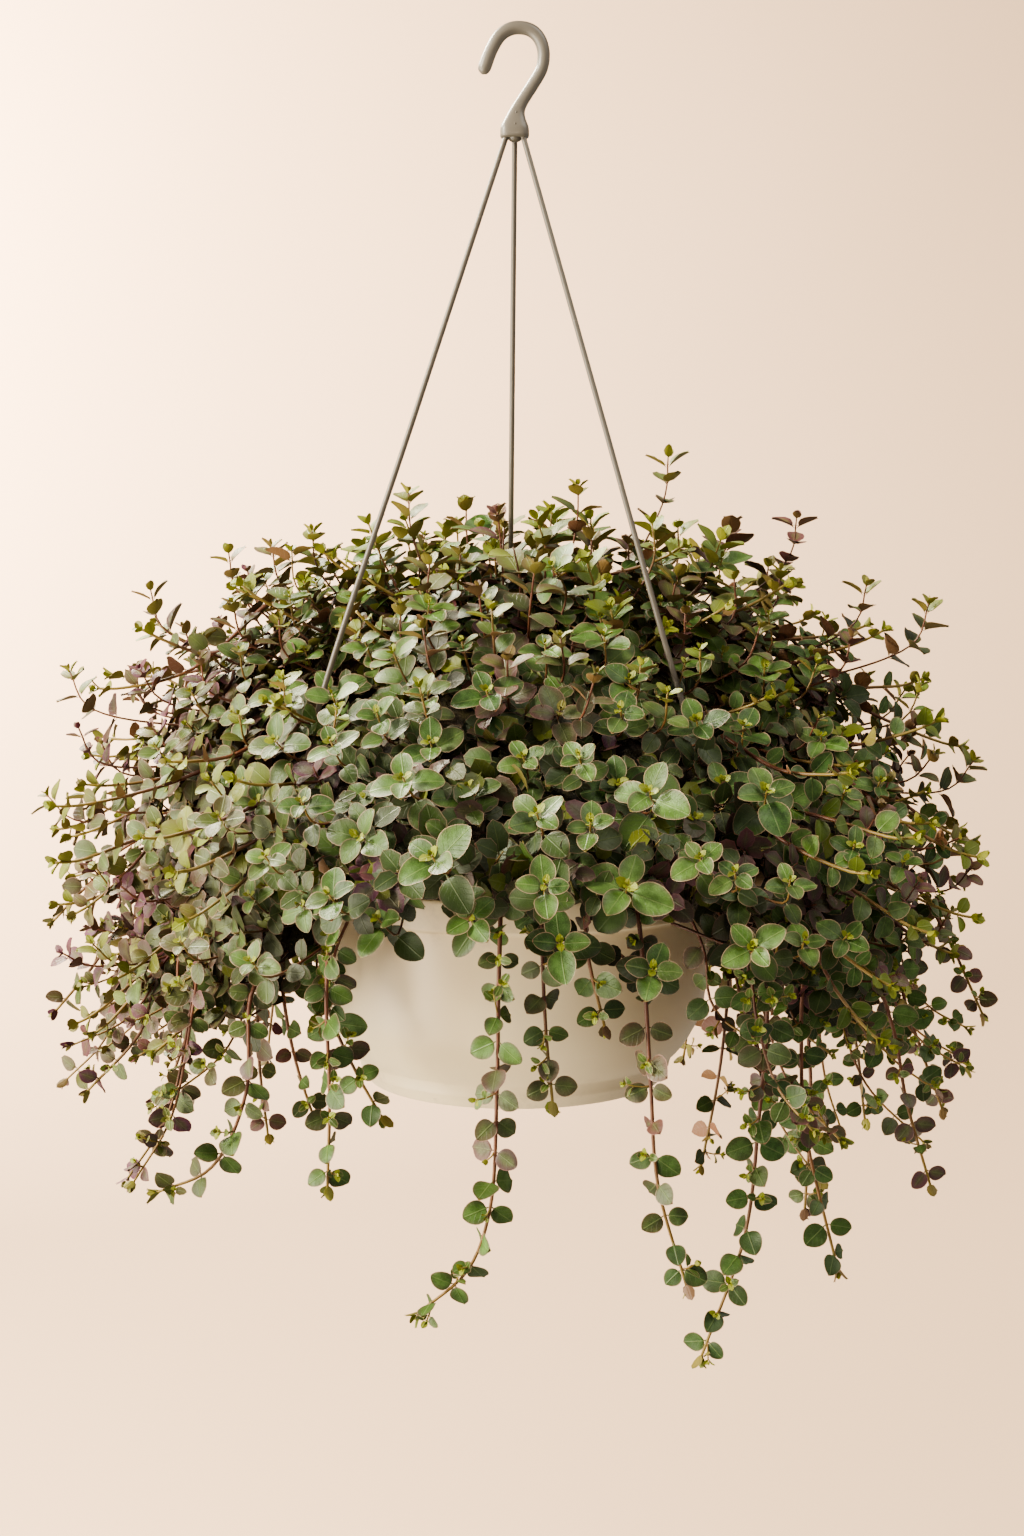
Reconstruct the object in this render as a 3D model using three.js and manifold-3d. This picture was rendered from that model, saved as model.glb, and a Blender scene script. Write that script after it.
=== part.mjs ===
// Turtle vine in a hanging pot: a bowl on three plastic strands, full of creeping stems that trail
// over its rim. Millimetres, +Z up. The origin is the point where the hook bears on what holds it.
// +X is to the right and +Y to the back.
import * as THREE from "three";
import { mergeVertices } from "three/addons/utils/BufferGeometryUtils.js";
import Module from "manifold-3d";

const wasm = await Module();
wasm.setup();

// Clearances between separate pieces
const CLEARANCE = 0.35;
const LEAF_CLEARANCE = 0.5;

// Pot: a 10 inch bowl
const RIM_RADIUS = 125;
const RIM_TOP = -504;
const RIM_BAND_HEIGHT = 18;
const RIM_LEDGE = 6;
const WALL = 2;
const POT_HEIGHT = 126;
const POT_BOTTOM = RIM_TOP - POT_HEIGHT;
const FOOT_RADIUS = 90;
const FOOT_WIDTH = 8;
const FOOT_RECESS = 3;
const DRAIN_RADIUS = 4.5;
const DRAIN_RING = 55;
const DRAINS = 5;
const POT_SIDES = 30;

// Soil, level below the rim
const SOIL_TOP = -516;
const SOIL_CROWN = 3;

// Strands: their azimuths are degrees from the front, towards +X
const STRAND_TOP_RADIUS = 1.5;
const STRAND_FOOT_RADIUS = 2;
const STRAND_SIDES = 8;
const EAR_HOLE_RADIUS = 2.45;
const EAR_CENTRE = 131;
const EAR_WIDTH = 16;
const EAR_THICKNESS = 4;
const HEAD_RADIUS = 4;
const HEAD_HEIGHT = 5;
const STRANDS = [
  {
    name: "strand_left",
    azimuth: -64,
    top: 6,
    bend: [[126.6, -395], [134, -425], [134, -465], [131.5, -488]],
  },
  {
    name: "strand_right",
    azimuth: 56,
    top: 6,
    bend: [[117, -395], [129, -425], [131.5, -465], [131, -488]],
  },
  {
    name: "strand_rear",
    azimuth: 182,
    top: 5,
    bend: [[98.9, -390], [116, -450], [128, -485]],
  },
];

// Hook and the cap below it
const CAP_BOTTOM = -61;
const SOCKET_DEPTH = 8;
const CAP_SIDES = 12;
const CAP_SQUARENESS = 0.7;
const CAP_RINGS = [
  [-61, 8.7, 7.5],
  [-56, 8.8, 7.6],
  [-52, 7.6, 6.6],
  [-48, 5.4, 5],
  [-44, 4.3, 4.2],
];
const HOOK_SIDES = 8;
const HOOK_STEPS = 20;
const HOOK_LINE = [
  [-18.3, -19.5],
  [-14.2, -9.2],
  [-8.8, -0.6],
  [-3, 3.2],
  [2.8, 4.3],
  [9.5, 2.6],
  [14.3, -2],
  [17.4, -9.7],
  [16.3, -19.5],
  [10.5, -30],
  [4.5, -39],
  [1.2, -46],
  [0, -54],
];
const HOOK_RADIUS = 3.8;
const HOOK_CROWN_RADIUS = 4.3;

// The mound: its crown leans back, its front slopes and its skirt hangs over the rim, except at the front
const MOUND_BACK = 30;
const MOUND_BASE = -475;
const MOUND_HEIGHT = 167;
const MOUND_SIDE = 262;
const MOUND_FRONT = 265;
const MOUND_REAR = 222;
const CORE_SHARE = 0.84;
const CORE_COLUMNS = 36;
const CORE_CLIMBS = [0.93, 0.82, 0.7, 0.58, 0.46, 0.34, 0.22, 0.1];
const CORE_BUMP = 8;
const CORE_FLOOR = -498;
const CORE_INNER = 148;
const SKIRT_FRONT = -492;
const SKIRT_SIDE = -562;
const SKIRT_OPENS = 30;
const SKIRT_CLOSES = 52;
const STRAND_SLOT = 7;
const CLUMP_GAP = 1.4;
const CLUMP_CUTS = [-64, -4, 56, 119, 182, 239];
const STRAND_CUTS = [-64, 56, 182];
const NECK_RADIUS = 10;
const NECK_RING = 62;
const NECK_BOTTOM = -560;
const NECK_SIDES = 8;

// Leaves and stems
const STEM_CORNER = 1.7;
const PETIOLE = 0.9;
const LEAF_THICKNESS = 1.5;
const ROSETTE_LEAF = 32;
const TRAIL_LEAF = 17.5;
const LEAF_SLIMNESS = 0.47;
const ROSETTE_GAP = 56;
const ROSETTES_PER_CLUMP = 10;
const ROSETTE_TRIES = 500;
const ROSETTE_ROOT = 16;
const SPRIG_LEAF = 20;
const SPRIG_STEP = 20;
const SPRIG_ROOT = 22;
const ROOT_DEPTH = 0.08;
const TRAIL_PAIR_GAP = 36;
const TRAIL_START = 5;

// Long stems that trail from the mound: points down each, the first one inside the mound
const TRAILS = [
  [
    [-7, -168, -470], [-8, -183, -503], [-9, -189, -540], [-10, -187, -600], [-14, -185, -662],
    [-26, -185, -694], [-53, -187, -717],
  ],
  [[15, -164, -470], [14, -177, -503], [16, -181, -560], [20, -179, -604]],
  [[35, -164, -470], [37, -178, -503], [39, -182, -525], [48, -180, -563]],
  [
    [62, -160, -472], [66, -176, -505], [69, -184, -540], [72, -188, -590], [76, -190, -645],
    [92, -188, -702],
  ],
  [
    [130, -120, -500], [136, -146, -522], [138, -152, -560], [134, -151, -620], [127, -150, -685],
    [103, -150, -755],
  ],
  [[146, -96, -515], [160, -124, -535], [160, -127, -570], [163, -124, -630], [183, -120, -715]],
  [[167, -60, -540], [171, -61, -572], [175, -60, -630], [172, -60, -699]],
  [[170, -70, -530], [200, -86, -542], [217, -91, -580], [226, -91, -625], [241, -90, -676]],
  [[190, -18, -535], [225, -28, -548], [237, -30, -585], [259, -30, -646]],
  [[205, 4, -500], [244, 0, -512], [266, 0, -545], [289, 0, -594]],
  [
    [-90, -136, -492], [-99, -164, -510], [-102, -168, -545], [-101, -164, -603],
    [-103, -158, -657],
  ],
  [
    [-120, -120, -496], [-110, -121, -532], [-104, -120, -568], [-90, -121, -600],
    [-75, -121, -627],
  ],
  [
    [-130, -104, -535], [-146, -134, -552], [-150, -137, -610], [-170, -134, -652],
    [-201, -130, -667],
  ],
  [[-180, -26, -540], [-212, -38, -558], [-224, -40, -595], [-257, -40, -632]],
  [[-205, 22, -520], [-242, 20, -538], [-266, 20, -570], [-288, 20, -596]],
  [[-208, 46, -490], [-247, 38, -500], [-271, 34, -520], [-291, 32, -541]],
  [[-186, 58, -540], [-200, 60, -582], [-217, 60, -635], [-232, 60, -672]],
  [[-160, 2, -540], [-159, 0, -576], [-158, 0, -625], [-153, 0, -670]],
  [[-140, -52, -540], [-136, -60, -575], [-129, -62, -610], [-119, -62, -642]],
  [[142, 78, -540], [140, 74, -578], [133, 68, -645], [121, 64, -708]],
  [[190, 52, -535], [207, 52, -570], [218, 48, -620], [224, 44, -672]],
  [[118, 160, -535], [126, 188, -556], [128, 196, -600], [120, 202, -668]],
  [[62, 180, -535], [64, 212, -556], [62, 220, -600], [70, 222, -650]],
  [[-26, 186, -535], [-24, 220, -556], [-20, 229, -600], [-28, 234, -690]],
  [[-86, 174, -535], [-96, 206, -556], [-102, 212, -598], [-98, 214, -640]],
  [[-134, 126, -535], [-156, 152, -556], [-164, 160, -600], [-172, 166, -660]],
];

// Tips of the shoots that stand furthest out of the mound
const SPRIGS = [
  [-276, 20, -382],
  [-226, 25, -332],
  [-178, 30, -309],
  [-126, 30, -296],
  [-66, 30, -272],
  [-31, 60, -278],
  [39, 20, -268],
  [96, 46, -249],
  [175, 30, -287],
  [218, 25, -329],
  [254, 10, -340],
  [285, 20, -438],
  [-290, 15, -459],
  [60, 190, -330],
  [0, 252, -430],
  [120, 218, -420],
  [-140, 200, -425],
];

const potMaterial = new THREE.MeshStandardMaterial({ color: "#e3d8c6", roughness: 0.5, metalness: 0 });
const hangerMaterial = new THREE.MeshStandardMaterial({ color: "#b9b4aa", roughness: 0.45, metalness: 0 });
const soilMaterial = new THREE.MeshStandardMaterial({ color: "#3a2a20", roughness: 0.95, metalness: 0 });
const moundMaterial = new THREE.MeshStandardMaterial({ color: "#6f8f6a", roughness: 0.6, metalness: 0 });
const trailMaterial = new THREE.MeshStandardMaterial({ color: "#5f7f58", roughness: 0.6, metalness: 0 });

const vec = (x, y, z) => new THREE.Vector3(x, y, z);
const UP = vec(0, 0, 1);
const STEM_SIDE = vec(1, 0.02, 0.03);

function seeded(seed) {
  let state = seed >>> 0;
  return () => {
    state = (state + 0x6d2b79f5) >>> 0;
    let t = Math.imul(state ^ (state >>> 15), 1 | state);
    t = (t + Math.imul(t ^ (t >>> 7), 61 | t)) ^ t;
    return ((t ^ (t >>> 14)) >>> 0) / 4294967296;
  };
}

// A point at a distance from the pot's axis, by its azimuth in degrees
function polar(radius, azimuth, z) {
  const a = THREE.MathUtils.degToRad(azimuth);
  return vec(radius * Math.sin(a), -radius * Math.cos(a), z);
}

function solidFrom(points, triangles) {
  const vertProperties = new Float32Array(points.flatMap((p) => [p.x, p.y, p.z]));
  const triVerts = new Uint32Array(triangles);
  return new wasm.Manifold(new wasm.Mesh({ numProp: 3, vertProperties, triVerts }));
}

function solidOf(geometry) {
  const bare = geometry.clone();
  bare.deleteAttribute("normal");
  bare.deleteAttribute("uv");
  const merged = mergeVertices(bare, 1e-4);
  const triVerts = new Uint32Array(merged.index.array);
  return new wasm.Manifold(
    new wasm.Mesh({ numProp: 3, vertProperties: merged.attributes.position.array, triVerts }),
  );
}

function meshOf(name, solid, material) {
  const data = solid.getMesh();
  const geometry = new THREE.BufferGeometry();
  geometry.setAttribute("position", new THREE.BufferAttribute(new Float32Array(data.vertProperties), 3));
  geometry.setIndex(new THREE.BufferAttribute(new Uint32Array(data.triVerts), 1));
  const flat = geometry.toNonIndexed();
  flat.computeVertexNormals();
  const mesh = new THREE.Mesh(flat, material.clone());
  mesh.name = name;
  return mesh;
}

// Rings of equal count become one closed skin, with a fan at each end
// Where turned says so, a face is split along its other diagonal
function skin(rings, turned = () => false) {
  const points = rings.flat();
  const count = rings[0].length;
  const triangles = [];
  for (let j = 0; j + 1 < rings.length; j++) {
    for (let k = 0; k < count; k++) {
      const next = (k + 1) % count;
      const a = j * count;
      const b = a + count;
      if (turned(j, k)) triangles.push(a + k, a + next, b + k, a + next, b + next, b + k);
      else triangles.push(a + k, a + next, b + next, a + k, b + next, b + k);
    }
  }
  const last = (rings.length - 1) * count;
  for (let k = 1; k + 1 < count; k++) {
    triangles.push(0, k + 1, k, last, last + k, last + k + 1);
  }
  return solidFrom(points, triangles);
}

// Frames that follow a line of points without twisting
function framesAlong(points, side) {
  let u = side.clone();
  return points.map((p, i) => {
    const before = points[Math.max(i - 1, 0)];
    const after = points[Math.min(i + 1, points.length - 1)];
    const t = after.clone().sub(before).normalize();
    u = u.clone().addScaledVector(t, -u.dot(t)).normalize();
    return { p, t, u, v: t.clone().cross(u) };
  });
}

function ringAt(frame, radius, count) {
  return Array.from({ length: count }, (_, k) => {
    const a = ((k + 0.5) / count) * 2 * Math.PI;
    return frame.p
      .clone()
      .addScaledVector(frame.u, radius * Math.cos(a))
      .addScaledVector(frame.v, radius * Math.sin(a));
  });
}

function roundBar(points, radiusAt, count, side) {
  const frames = framesAlong(points, side);
  return skin(frames.map((frame, i) => ringAt(frame, radiusAt(i / (frames.length - 1)), count)));
}

function lathe(profile, sides) {
  const geometry = new THREE.LatheGeometry(
    profile.map(([r, z]) => new THREE.Vector2(r, z)),
    sides,
  );
  return solidOf(geometry.rotateX(Math.PI / 2));
}

// A plain upright post
function post(radius, sides, centre, bottom, top) {
  const geometry = new THREE.CylinderGeometry(radius, radius, top - bottom, sides);
  geometry.rotateX(Math.PI / 2);
  geometry.translate(centre.x, centre.y, (top + bottom) / 2);
  return solidOf(geometry);
}

// Pot

const potOuter = [
  [FOOT_RADIUS, POT_BOTTOM],
  [95, POT_BOTTOM + 8],
  [97, POT_BOTTOM + 15],
  [104, POT_BOTTOM + 22],
  [114, POT_BOTTOM + 40],
  [119, POT_BOTTOM + 75],
  [121, RIM_TOP - RIM_BAND_HEIGHT - 1],
];
const potInner = [
  [RIM_RADIUS - RIM_LEDGE, RIM_TOP - RIM_BAND_HEIGHT],
  [112, POT_BOTTOM + 39],
  [102.4, POT_BOTTOM + 20.5],
  [87, POT_BOTTOM + FOOT_RECESS + WALL],
];

function makePot() {
  let pot = lathe(
    [
      [0, POT_BOTTOM + FOOT_RECESS],
      [FOOT_RADIUS - FOOT_WIDTH - 2, POT_BOTTOM + FOOT_RECESS],
      [FOOT_RADIUS - FOOT_WIDTH, POT_BOTTOM],
      ...potOuter,
      [RIM_RADIUS, RIM_TOP - RIM_BAND_HEIGHT],
      [RIM_RADIUS, RIM_TOP - 1.2],
      [RIM_RADIUS - 1.2, RIM_TOP],
      [RIM_RADIUS - RIM_LEDGE, RIM_TOP],
      ...potInner,
      [0, POT_BOTTOM + FOOT_RECESS + WALL],
    ],
    POT_SIDES,
  );
  for (const { azimuth } of STRANDS) {
    const half = EAR_WIDTH / 2;
    const outline = new THREE.Shape();
    outline.moveTo(half, -(RIM_RADIUS - 3));
    outline.lineTo(-half, -(RIM_RADIUS - 3));
    outline.lineTo(-half, -EAR_CENTRE);
    outline.absarc(0, -EAR_CENTRE, half, Math.PI, 2 * Math.PI, false);
    const ear = new THREE.ExtrudeGeometry(outline, {
      depth: EAR_THICKNESS,
      bevelEnabled: false,
      curveSegments: 5,
    });
    ear.translate(0, 0, RIM_TOP - EAR_THICKNESS - 0.5);
    ear.rotateZ(THREE.MathUtils.degToRad(azimuth));
    pot = pot.add(solidOf(ear));
    const hole = polar(EAR_CENTRE, azimuth, 0);
    pot = pot.subtract(post(EAR_HOLE_RADIUS, 12, hole, RIM_TOP - 10, RIM_TOP + 5));
  }
  for (let i = 0; i < DRAINS; i++) {
    const at = polar(DRAIN_RING, (i * 360) / DRAINS, 0);
    pot = pot.subtract(post(DRAIN_RADIUS, 8, at, POT_BOTTOM - 1, POT_BOTTOM + 8));
  }
  return pot;
}

// Soil, which fills the pot; each clump's neck stands in a plain hole in it

const neckAzimuths = CLUMP_CUTS.map((cut, i) => {
  const next = CLUMP_CUTS[i + 1] ?? CLUMP_CUTS[0] + 360;
  return (cut + next) / 2;
});

function makeSoil() {
  const inset = potInner.slice(1).map(([r, z]) => [r - CLEARANCE - 0.1, z]);
  inset[inset.length - 1][1] += CLEARANCE;
  const wallAtTop = 118.4 - CLEARANCE;
  let soil = lathe(
    [
      [0, POT_BOTTOM + FOOT_RECESS + WALL + CLEARANCE],
      ...inset.reverse(),
      [wallAtTop, SOIL_TOP],
      [90, SOIL_TOP + SOIL_CROWN / 2],
      [0, SOIL_TOP + SOIL_CROWN],
    ],
    POT_SIDES,
  );
  for (const azimuth of neckAzimuths) {
    const at = polar(NECK_RING, azimuth, 0);
    soil = soil.subtract(
      post(NECK_RADIUS + CLEARANCE + 0.3, NECK_SIDES, at, NECK_BOTTOM - CLEARANCE, SOIL_TOP + 20),
    );
  }
  return soil;
}

// Strands, each one moulding with the head that holds it under its ear

function strandLine({ azimuth, top, bend }) {
  const slope = (bend[0][0] - top) / (CAP_BOTTOM - bend[0][1]);
  const socketEnd = top - slope * SOCKET_DEPTH;
  const straight = [
    [socketEnd, CAP_BOTTOM + SOCKET_DEPTH],
    [(top + bend[0][0]) / 2, (CAP_BOTTOM + bend[0][1]) / 2],
  ];
  const foot = [
    [EAR_CENTRE, RIM_TOP + 5],
    [EAR_CENTRE, RIM_TOP - EAR_THICKNESS - 0.5 - CLEARANCE - HEAD_HEIGHT],
  ];
  return [...straight, ...bend, ...foot].map(([radius, z]) => polar(radius, azimuth, z));
}

function strandBar(strand, extra) {
  const line = strandLine(strand);
  const radiusAt = (share) =>
    THREE.MathUtils.lerp(STRAND_TOP_RADIUS, STRAND_FOOT_RADIUS, Math.min(1, 2 * share)) + extra;
  return roundBar(line, radiusAt, STRAND_SIDES, polar(1, strand.azimuth + 90, 0));
}

function makeStrand(strand) {
  const under = RIM_TOP - EAR_THICKNESS - 0.5 - CLEARANCE;
  const head = post(HEAD_RADIUS, 10, polar(EAR_CENTRE, strand.azimuth, 0), under - HEAD_HEIGHT, under);
  return strandBar(strand, 0).add(head);
}

// Hook, one moulding with its cap

function makeHook() {
  const curve = new THREE.CatmullRomCurve3(HOOK_LINE.map(([x, z]) => vec(x, 0, z)));
  const line = curve.getSpacedPoints(HOOK_STEPS);
  const radiusAt = (share) => {
    const crown = Math.exp(-(((share - 0.36) / 0.12) ** 2));
    const tip = share === 0 ? -1.6 : 0;
    return HOOK_RADIUS + (HOOK_CROWN_RADIUS - HOOK_RADIUS) * crown + tip;
  };
  const bar = roundBar(line, radiusAt, HOOK_SIDES, vec(0, 1, 0));
  const cap = skin(
    CAP_RINGS.map(([z, halfWidth, halfDepth]) =>
      Array.from({ length: CAP_SIDES }, (_, k) => {
        const a = ((k + 0.5) / CAP_SIDES) * 2 * Math.PI;
        const c = Math.cos(a);
        const s = Math.sin(a);
        return vec(
          halfWidth * Math.sign(c) * Math.abs(c) ** CAP_SQUARENESS,
          halfDepth * Math.sign(s) * Math.abs(s) ** CAP_SQUARENESS,
          z,
        );
      }),
    ),
  );
  let hook = bar.add(cap);
  for (const strand of STRANDS) {
    hook = hook.subtract(strandBar(strand, CLEARANCE));
  }
  return hook;
}

// The mound's surface, by the azimuth round its crown and the climb from its base, 0, to its crown, 1

function moundReach(azimuth) {
  const c = Math.cos(THREE.MathUtils.degToRad(azimuth));
  return THREE.MathUtils.lerp(MOUND_SIDE, c > 0 ? MOUND_FRONT : MOUND_REAR, Math.abs(c) ** 1.6);
}

// How full the profile is: near 1 it slopes like a cone, above 2 it is round-shouldered
function moundPower(azimuth) {
  const off = Math.abs(THREE.MathUtils.euclideanModulo(azimuth + 180, 360) - 180);
  return THREE.MathUtils.lerp(1.2, 2.3, THREE.MathUtils.smoothstep(off, 56, 92));
}

function moundPoint(azimuth, climb, share = 1) {
  const reach = moundReach(azimuth);
  const power = moundPower(azimuth);
  const t = (climb * Math.PI) / 2;
  const radius = reach * share * Math.cos(t) ** (2 / power);
  const height = MOUND_HEIGHT * share * Math.sin(t) ** (2 / power);
  return polar(radius, azimuth, MOUND_BASE + height).add(vec(0, MOUND_BACK, 0));
}

function surfaceNormal(p) {
  const lift = Math.max(0, p.z - MOUND_BASE) / MOUND_HEIGHT ** 2;
  return vec(p.x / MOUND_SIDE ** 2, (p.y - MOUND_BACK) / MOUND_FRONT ** 2, lift).normalize();
}

function skirtBottom(azimuth) {
  const off = Math.abs(THREE.MathUtils.euclideanModulo(azimuth + 180, 360) - 180);
  const open = THREE.MathUtils.smoothstep(off, SKIRT_OPENS, SKIRT_CLOSES);
  return THREE.MathUtils.lerp(SKIRT_FRONT, SKIRT_SIDE, open);
}

// The core is massed stems and leaves: its skin rises and falls from each point to the next
function makeCore(random) {
  const azimuths = Array.from({ length: CORE_COLUMNS }, (_, i) => (i * 360) / CORE_COLUMNS);
  const roughRing = (pointAt, row) =>
    azimuths.map((azimuth, i) => {
      const p = pointAt(azimuth);
      const spread = Math.min(1, Math.hypot(p.x, p.y - MOUND_BACK) / 120);
      const rise = ((i + row) % 2 ? 1 : -1) * CORE_BUMP * (0.5 + random()) * spread;
      return p.addScaledVector(surfaceNormal(p), rise);
    });
  const rings = CORE_CLIMBS.map((climb, row) => roughRing((a) => moundPoint(a, climb, CORE_SHARE), row));
  const base = (a) => moundPoint(a, 0, CORE_SHARE);
  const between = (a, share) => THREE.MathUtils.lerp(MOUND_BASE, skirtBottom(a), share);
  rings.push(
    roughRing((a) => base(a).setZ(between(a, 0.1)), CORE_CLIMBS.length),
    roughRing((a) => base(a).setZ(between(a, 0.55)), CORE_CLIMBS.length + 1),
    azimuths.map((a) => moundPoint(a, 0, CORE_SHARE - 0.05).setZ(skirtBottom(a))),
    azimuths.map((a) => polar(CORE_INNER + 5, a, Math.min(skirtBottom(a) + 5, CORE_FLOOR + 4))),
    azimuths.map((a) => polar(CORE_INNER, a, CORE_FLOOR)),
  );
  rings.reverse();
  return skin(rings, (j, k) => (rings.length - 1 - j + k) % 2 === 1);
}

// Leafy stems: a four-sided stem, which carries a pair of leaves at each node, every pair across the last

// The parts of a leaf's outline: how far along the blade and what share of its half width
const LEAF_OUTLINE = [
  [0.3, 0.82],
  [0.72, 0.86],
];

// A blade that grows from one side of the stem, between the corners of the rings below and above its petiole
function addLeaf(points, triangles, corners, shape) {
  const [a0, a1, b1, b0] = corners;
  const base = vec(0, 0, 0);
  corners.forEach((i) => base.addScaledVector(points[i], 0.25));
  const across = points[b0].clone().sub(points[b1]);
  const { along, face, length, width, sag, thickness } = shape;
  const lateral = along.clone().cross(face).normalize();
  if (lateral.dot(across) < 0) lateral.negate();
  const at = (u, v, lift) =>
    base.clone().addScaledVector(along, u).addScaledVector(lateral, v).addScaledVector(face, lift);
  const start = points.length;
  for (const sign of [1, -1]) {
    for (const [u, w] of LEAF_OUTLINE) {
      points.push(at(u * length, sign * w * width, 0.6 - sag * u * u));
    }
  }
  points.push(at(length, 0, -sag));
  points.push(at(0.5 * length, 0, thickness + 0.3 - sag * 0.25));
  const [p1, p2, q1, q2, tip, rib] = [0, 1, 2, 3, 4, 5].map((i) => start + i);
  const fan = (loop) => loop.forEach((i, k) => triangles.push(rib, i, loop[(k + 1) % loop.length]));
  const growth = points[b0].clone().sub(points[a0]);
  if (face.dot(growth) > 0) {
    fan([b0, p1, p2, tip, q2, q1, b1]);
    triangles.push(a0, a1, q1, a0, q1, p1, p1, q1, q2, p1, q2, p2, p2, q2, tip);
  } else {
    fan([a1, q1, q2, tip, p2, p1, a0]);
    triangles.push(b1, b0, p1, b1, p1, q1, q1, p1, p2, q1, p2, q2, q2, p2, tip);
  }
  triangles.push(a0, p1, b0, a1, b1, q1);
}

// The face of a blade turns to the light as far as its petiole can twist
function leafShape(out, tangent, light, node, extra) {
  const lean = node.lift ?? 0.15;
  const along = out.clone().addScaledVector(tangent, lean).addScaledVector(UP, node.rise ?? 0).normalize();
  const level = tangent.clone().addScaledVector(along, -tangent.dot(along)).normalize();
  const wanted = light.clone().addScaledVector(along, -light.dot(along)).normalize();
  if (level.dot(wanted) < 0) level.negate();
  const face = level.lerp(wanted, 0.72).normalize();
  return {
    along,
    face,
    length: node.leaf + extra,
    width: node.leaf * LEAF_SLIMNESS + extra,
    sag: node.leaf * (node.sag ?? 0.12),
    thickness: LEAF_THICKNESS + extra,
  };
}

// The curve through a route's points, with the length from its start to its second point
function stemLine(route) {
  const curve = new THREE.CatmullRomCurve3(route);
  const parts = 100;
  const lengths = curve.getLengths(parts * (route.length - 1));
  return { curve, total: lengths[lengths.length - 1], second: lengths[parts] };
}

function leafyStem(route, nodes, light, extra = 0, bends = []) {
  const { curve, total } = stemLine(route);
  const stops = [0, ...bends];
  for (const node of nodes) {
    const below = node.at - PETIOLE;
    if (below - stops[stops.length - 1] > 1e-6) stops.push(below);
    stops.push(node.at + PETIOLE);
  }
  const frames = framesAlong(
    stops.map((s) => curve.getPointAt(Math.min(1, s / total))),
    STEM_SIDE,
  );
  const points = frames.flatMap((frame, i) => {
    const share = stops[i] / total;
    return ringAt(frame, STEM_CORNER * (1 - 0.4 * share) + Math.min(extra, CLEARANCE - 0.1), 4);
  });
  const triangles = [2, 1, 0, 3, 2, 0];
  const last = (frames.length - 1) * 4;
  triangles.push(last, last + 1, last + 2, last, last + 2, last + 3);
  for (let j = 0; j + 1 < frames.length; j++) {
    const index = nodes.findIndex((node) => Math.abs(node.at - PETIOLE - stops[j]) < 1e-6);
    const node = nodes[index];
    for (let k = 0; k < 4; k++) {
      const a = j * 4;
      const b = a + 4;
      const next = (k + 1) % 4;
      const corners = [a + k, a + next, b + next, b + k];
      if (node && !node.bare && k % 2 === index % 2) {
        const middle = points[a + k].clone().add(points[a + next]).multiplyScalar(0.5);
        const out = middle.sub(frames[j].p).normalize();
        addLeaf(points, triangles, corners, leafShape(out, frames[j].t, light, node, extra));
      } else {
        triangles.push(corners[0], corners[1], corners[2], corners[0], corners[2], corners[3]);
      }
    }
  }
  return solidFrom(points, triangles);
}

// Trails are made first, then the mound is grown round them

const obstacles = [];

function addObstacle(solid, owner) {
  obstacles.push({ solid, owner, box: solid.boundingBox() });
}

function clearOfOthers(solid, owner) {
  const { min, max } = solid.boundingBox();
  return obstacles.every((other) => {
    const apart = [0, 1, 2].some((i) => min[i] > other.box.max[i] || max[i] < other.box.min[i]);
    return other.owner === owner || apart || solid.intersect(other.solid).volume() <= 0;
  });
}

// The light comes from outside and above
function outwardLight(p) {
  return vec(p.x, p.y, 0).normalize().multiplyScalar(0.75).addScaledVector(UP, 0.66).normalize();
}

function makeTrail(route, random) {
  const line = route.map(([x, y, z]) => vec(x, y, z));
  const { total, second } = stemLine(line);
  const light = outwardLight(line[1]);
  const wanted = [];
  const start = second + TRAIL_START;
  const count = Math.floor((total - start) / TRAIL_PAIR_GAP);
  for (let i = 0; i <= count; i++) {
    const at = total - 3 * PETIOLE - i * TRAIL_PAIR_GAP - (i ? random() * 5 : 0);
    const leaf = TRAIL_LEAF * (0.72 + 0.28 * Math.min(1, i / 2)) * (0.94 + 0.12 * random());
    if (at > start) wanted.unshift({ at, leaf, lift: 0.1, rise: 0.2, sag: 0.08 });
  }
  wanted.push({ at: total - PETIOLE, leaf: TRAIL_LEAF * 0.55, lift: 0.5, sag: 0 });
  for (const node of wanted) {
    const alone = wanted.map((other) => ({ ...other, bare: other !== node }));
    node.bare = !clearOfOthers(leafyStem(line, alone, light, LEAF_CLEARANCE, [second]));
  }
  return leafyStem(line, wanted, light, 0, [second]);
}

// The plain hole that a trail's first stretch stands in
function trailBore(route) {
  const [root, edge] = route.map(([x, y, z]) => vec(x, y, z));
  const along = edge.clone().sub(root).normalize();
  const line = [root.addScaledVector(along, -1), edge.addScaledVector(along, 12)];
  return roundBar(line, () => STEM_CORNER + CLEARANCE * Math.SQRT2, 4, STEM_SIDE);
}

// An upright slab through the pot's axis, from the axis outwards, at an azimuth
function slab(width, azimuth) {
  const geometry = new THREE.BoxGeometry(width, 400, 500);
  geometry.translate(0, -200, (MOUND_BASE + CORE_FLOOR) / 2);
  return solidOf(geometry.rotateZ(THREE.MathUtils.degToRad(azimuth)));
}

function clumpAt(p) {
  const azimuth = THREE.MathUtils.radToDeg(Math.atan2(p.x, -p.y));
  const turned = THREE.MathUtils.euclideanModulo(azimuth - CLUMP_CUTS[0], 360) + CLUMP_CUTS[0];
  return CLUMP_CUTS.filter((cut) => cut <= turned).length - 1;
}

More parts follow.
